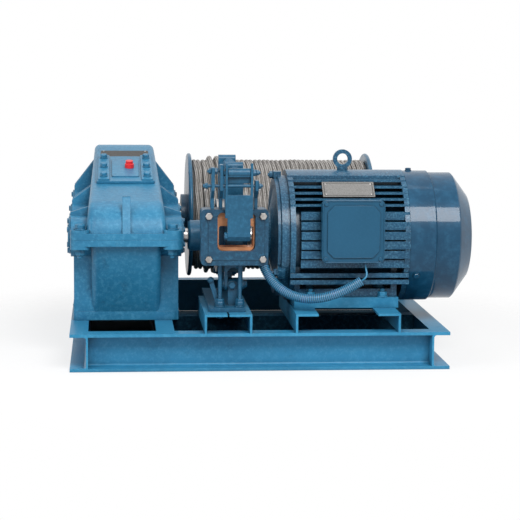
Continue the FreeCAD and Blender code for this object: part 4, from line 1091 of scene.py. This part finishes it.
rope = {
    "radius": 0.0065,
    "pitch": 0.0134,
    "woundRadius": 0.168,
    "endGap": 0.001,
    "stepsPerTurn": 96,
    "sides": 10,
    "wander": 0.0022,
    "heave": 0.0016,
    "driftScale": 0.9,
    "rippleScale": 1.7,
    "rippleStep": 0.35,
    "lay": 0.085,
    "coreDrop": 0.0035,
    "seed": 0.7,
    "overlayTurns": 3.2,
    "overlayPitch": 0.021,
    "overlayFrom": 0.03,
    "overlayLift": 0.7,  # in rope radii
    "overlaySeed": 2.1,
}


def ropeCentre(turns, start, pitch, radius, seed):
    # a helix round the drum that wanders a little, as rope does
    axisY, axisZ = middleOf("drum_shaft")[1:]
    points = []
    for i in range(int(turns * rope["stepsPerTurn"]) + 1):
        turn = i / rope["stepsPerTurn"]
        angle = 2 * math.pi * turn + seed
        cosine, sine = math.cos(angle), math.sin(angle)
        drift = noise.noise(Vector((turn * rope["driftScale"], seed, 0.3)))
        scale = rope["rippleScale"]
        row = turn * rope["rippleStep"] + seed
        ripple = noise.noise(Vector((cosine * scale, sine * scale, row)))
        x = start + pitch * turn + rope["wander"] * (drift + ripple)
        reach = radius + rope["heave"] * ripple
        points.append(Vector((x, axisY + reach * cosine, axisZ + reach * sine)))
    return points


def tubeAlong(name, points, radius, sides, lay, radiusAt=None):
    # a tube with U along it, counted in lays, and V round it
    shape = bmesh.new()
    layer = shape.loops.layers.uv.new("UVMap")
    length = 0.0
    rings = []
    lengths = []
    up = (points[1] - points[0]).orthogonal().normalized()
    for i, point in enumerate(points):
        before = points[max(i - 1, 0)]
        after = points[min(i + 1, len(points) - 1)]
        along = (after - before).normalized()
        up = (up - along * up.dot(along)).normalized()
        if i:
            length += (point - before).length
        reach = radiusAt(length) if radiusAt else radius
        rings.append(circle(point, up, along.cross(up), reach, sides))
        lengths.append(length / lay)
    loops = [[shape.verts.new(p) for p in ring] for ring in rings]
    for i in range(len(loops) - 1):
        for k in range(sides):
            n = (k + 1) % sides
            face = shape.faces.new((loops[i][k], loops[i][n], loops[i + 1][n], loops[i + 1][k]))
            face.smooth = True
            spans = ((i, k), (i, k + 1), (i + 1, k + 1), (i + 1, k))
            for loop, (row, column) in zip(face.loops, spans):
                loop[layer].uv = (lengths[row], column / sides)
    shape.faces.new(list(reversed(loops[0])))
    shape.faces.new(loops[-1])
    mesh = bpy.data.meshes.new(name)
    shape.to_mesh(mesh)
    shape.free()
    return mesh


def windRope(name, turns, start, pitch, reach, seed):
    points = ropeCentre(turns, start, pitch, reach, seed)
    mesh = tubeAlong(name, points, rope["radius"], rope["sides"], rope["lay"])
    return addPiece(name, mesh, ropeSteel, "drum")


def addRope():
    low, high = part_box("rope_winding")
    wound, radius, pitch = rope["woundRadius"], rope["radius"], rope["pitch"]
    near = low.x + radius + rope["endGap"]
    turns = (high.x - low.x - 2 * (radius + rope["endGap"])) / pitch
    winding = windRope("ropeTurns", turns, near, pitch, wound - radius, rope["seed"])
    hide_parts("rope_winding")
    # the layer below, as a plain cylinder
    core = wound - radius - rope["coreDrop"]
    shape = bmesh.new()
    profile = [(0, core), (high.x - low.x, core)]
    addTurned(shape, (low.x, *middleOf("drum_shaft")[1:]), (1, 0, 0), profile, 96)
    shapePiece("ropeCore", shape, ropeSteel, "drum", "wire_rope", smooth=True)
    # a few crossed turns on top
    start, pitch = near + rope["overlayFrom"], rope["overlayPitch"]
    reach = wound + radius * rope["overlayLift"]
    windRope("ropeOverlay", rope["overlayTurns"], start, pitch, reach, rope["overlaySeed"])


addRope()
print("winch: rope wound")

addGearboxFittings()
addBearingCaps()
addMotorFittings()
addBrakeFittings()
print("winch: fittings")

cords = {
    "hoseDiameter": 0.026,
    "ridgePitch": 0.0052,
    "ridgeDepth": 0.0017,
    "ringsPerRidge": 6,
    "hoseSides": 28,
    "crestShape": 0.6,
    "leadDiameter": 0.0052,
    "leadStep": 0.002,
}
# the hose in millimetres from its gland and the front beam, the lead as shares of its way
hoseRoute = [
    (0, 114, 342), (0, 114, 306), (7.7, 106.4, 267.8), (24.7, 92.1, 234.5), (49.2, 75, 208.4),
    (80.2, 57.8, 191.1), (116.2, 42.5, 183.9), (154.1, 30.9, 186.8), (191.9, 23.2, 197.9),
    (228, 19.2, 214.7), (262, 18, 235.5),
]
leadRoute = [
    (0, 0, 0), (0.36, -0.015, 0.061), (0.91, 0.046, 0.188), (1.21, 0.27, 0.35),
    (1.22, 0.57, 0.515), (1.09, 0.86, 0.692), (1, 1, 0.882), (1, 1, 1),
]


def hosePoints():
    origin = Vector((middleOf("hose_gland")[0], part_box("front_beam")[0].y, 0))
    return [origin + Vector(point) / 1000 for point in hoseRoute]


def leadPoints():
    x, y, _ = middleOf("lead_gland")
    start = hosePoints()[-1]
    way = Vector((x, y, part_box("lead_gland")[0].z)) - start
    return [start + Vector((way.x * u, way.y * v, way.z * w)) for u, v, w in leadRoute]


def splineCurve(name, points):
    curve = bpy.data.curves.new(name, "CURVE")
    curve.dimensions = "3D"
    spline = curve.splines.new("NURBS")
    spline.points.add(len(points) - 1)
    for place, point in zip(spline.points, points):
        place.co = (*point, 1)
    spline.order_u = 3
    spline.use_endpoint_u = True
    curve.resolution_u = 16
    return curve


def lineOf(curve):
    # the spline's own line, as points
    holder = putInScene(curve.name + "Line", curve)
    bpy.context.view_layer.update()
    mesh = bpy.data.meshes.new_from_object(holder)
    points = [vertex.co.copy() for vertex in mesh.vertices]
    bpy.data.objects.remove(holder)
    bpy.data.meshes.remove(mesh)
    return points


def evenly(points, step):
    # points a fixed distance apart along a line
    lengths = [0.0]
    for a, b in zip(points, points[1:]):
        lengths.append(lengths[-1] + (b - a).length)
    total = lengths[-1]
    count = max(2, round(total / step))
    result = []
    k = 0
    for i in range(count + 1):
        goal = total * i / count
        while k < len(points) - 2 and lengths[k + 1] < goal:
            k += 1
        span = lengths[k + 1] - lengths[k]
        share = (goal - lengths[k]) / span if span else 0.0
        result.append(points[k].lerp(points[k + 1], share))
    return result, total


def addHose():
    curve = splineCurve("hoseRoute", hosePoints())
    line, length = evenly(lineOf(curve), cords["ridgePitch"] / cords["ringsPerRidge"])
    radius = cords["hoseDiameter"] / 2

    def ridge(along):
        wave = 0.5 + 0.5 * math.cos(2 * math.pi * along / cords["ridgePitch"])
        return radius - cords["ridgeDepth"] * (1 - wave ** cords["crestShape"])

    mesh = tubeAlong("conduitHose", line, radius, cords["hoseSides"], cords["ridgePitch"], ridge)
    hose = addPiece("conduitHose", mesh, hosePaint, "frame")
    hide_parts("conduit_hose")
    curve = splineCurve("motorLead", leadPoints())
    _, length = evenly(lineOf(curve), cords["leadStep"])
    curve.bevel_depth = cords["leadDiameter"] / 2
    curve.bevel_resolution = 5
    lead = addPiece("motorLead", curve, leadPaint, "frame")
    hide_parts("motor_lead")


addHose()
print("winch: hose and lead")

studio = {
    "floor": srgb(250, 250, 251),
    "speck": srgb(236, 236, 238),
    "floorRadius": 4.0,
    "floorDrop": 0.0005,
    "whiteShare": 0.75,
    "shadeUnderBase": srgb(52, 84, 102),
    "fadeFrom": 0.7,
    "fadeTo": 1.25,
    "world": 0.32,
}


def addFloor():
    shape = bmesh.new()
    bmesh.ops.create_circle(shape, cap_ends=True, segments=96, radius=studio["floorRadius"])
    mesh = meshOf("studioFloor", shape)
    floor = putInScene("studioFloor", mesh)
    floor.location.z = -studio["floorDrop"]
    f = Finish("studioFloor")
    where = f.place()
    reach = f.add("VectorMath", {"operation": "LENGTH"}, {0: where}, out="Value")
    grain = f.noise(where, 60.0)
    colour = f.mix(grain * 0.04, studio["floor"], studio["speck"])
    # painted shade on the floor under the base, where the white is held back too
    under = insideMask(f, where)
    colour = f.mix(under, colour, studio["shadeUnderBase"])
    f.wear(Base_Color=colour, Roughness=0.9)
    white = f.add("Emission", wires={"Color": (1, 1, 1), "Strength": 1.0})
    shown = f.tree.nodes.new("ShaderNodeMixShader")
    plug(f.tree, shown.inputs[0], viewRays(f.tree) * studio["whiteShare"] * (1.0 - under))
    f.tree.links.new(f.shader.outputs[0], shown.inputs[1])
    f.tree.links.new(white.out, shown.inputs[2])
    clear = f.add("BsdfTransparent")
    faded = f.tree.nodes.new("ShaderNodeMixShader")
    plug(f.tree, faded.inputs[0], f.band(reach, studio["fadeFrom"], studio["fadeTo"]))
    f.tree.links.new(shown.outputs[0], faded.inputs[1])
    f.tree.links.new(clear.out, faded.inputs[2])
    f.tree.links.new(faded.outputs[0], f.tree.nodes["Material Output"].inputs[0])
    mesh.materials.append(f.material)


lamps = {
    "keyLight": {
        "place": (0.7, -2.7, 2.55), "target": (0.25, -0.4, 0.35), "size": (1.7, 1.5), "power": 96,
    },
    "sideLight": {
        "place": (-2.5, -1.9, 1.5), "target": (-0.3, -0.2, 0.3), "size": (1.2, 1.4), "power": 30,
    },
    "topLight": {
        "place": (-0.2, 0.6, 3.2), "target": (0, 0, 0.2), "size": (2.0, 2.0), "power": 14,
    },
}


def addLight(name, settings):
    lamp = bpy.data.lights.new(name, "AREA")
    lamp.shape = "RECTANGLE"
    lamp.size, lamp.size_y = settings["size"]
    lamp.energy = settings["power"]
    holder = putInScene(name, lamp)
    holder.location = settings["place"]
    aim = Vector(settings["target"]) - Vector(settings["place"])
    holder.rotation_euler = aim.to_track_quat("-Z", "Y").to_euler()


def addWorld():
    world = bpy.data.worlds.new("studio")
    bpy.context.scene.world = world
    world.use_nodes = True
    tree = world.node_tree
    back = tree.nodes["Background"]
    back.inputs[0].default_value = (1, 1, 1, 1)
    plug(tree, back.inputs[1], viewRays(tree) * (1 - studio["world"]) + studio["world"])


camera = {
    "place": (-0.4325, -4.845, 0.8757),
    "yaw": 5.165,
    "pitch": -7.616,
    "roll": 0.51,
    "focal": 116.46,
    "sensor": 36,
}


def addCamera():
    data = bpy.data.cameras.new("camera")
    data.sensor_width = camera["sensor"]
    data.lens = camera["focal"]
    holder = putInScene("camera", data)
    holder.location = camera["place"]
    turn = Matrix.Rotation(math.radians(-camera["yaw"]), 4, "Z")
    tilt = Matrix.Rotation(math.radians(90 + camera["pitch"]), 4, "X")
    roll = Matrix.Rotation(math.radians(camera["roll"]), 4, "Z")
    holder.rotation_euler = (turn @ tilt @ roll).to_euler()
    bpy.context.scene.camera = holder


addFloor()
for name, settings in lamps.items():
    addLight(name, settings)
addWorld()
addCamera()
bpy.context.scene.view_settings.view_transform = "Standard"
print("winch: stage set")
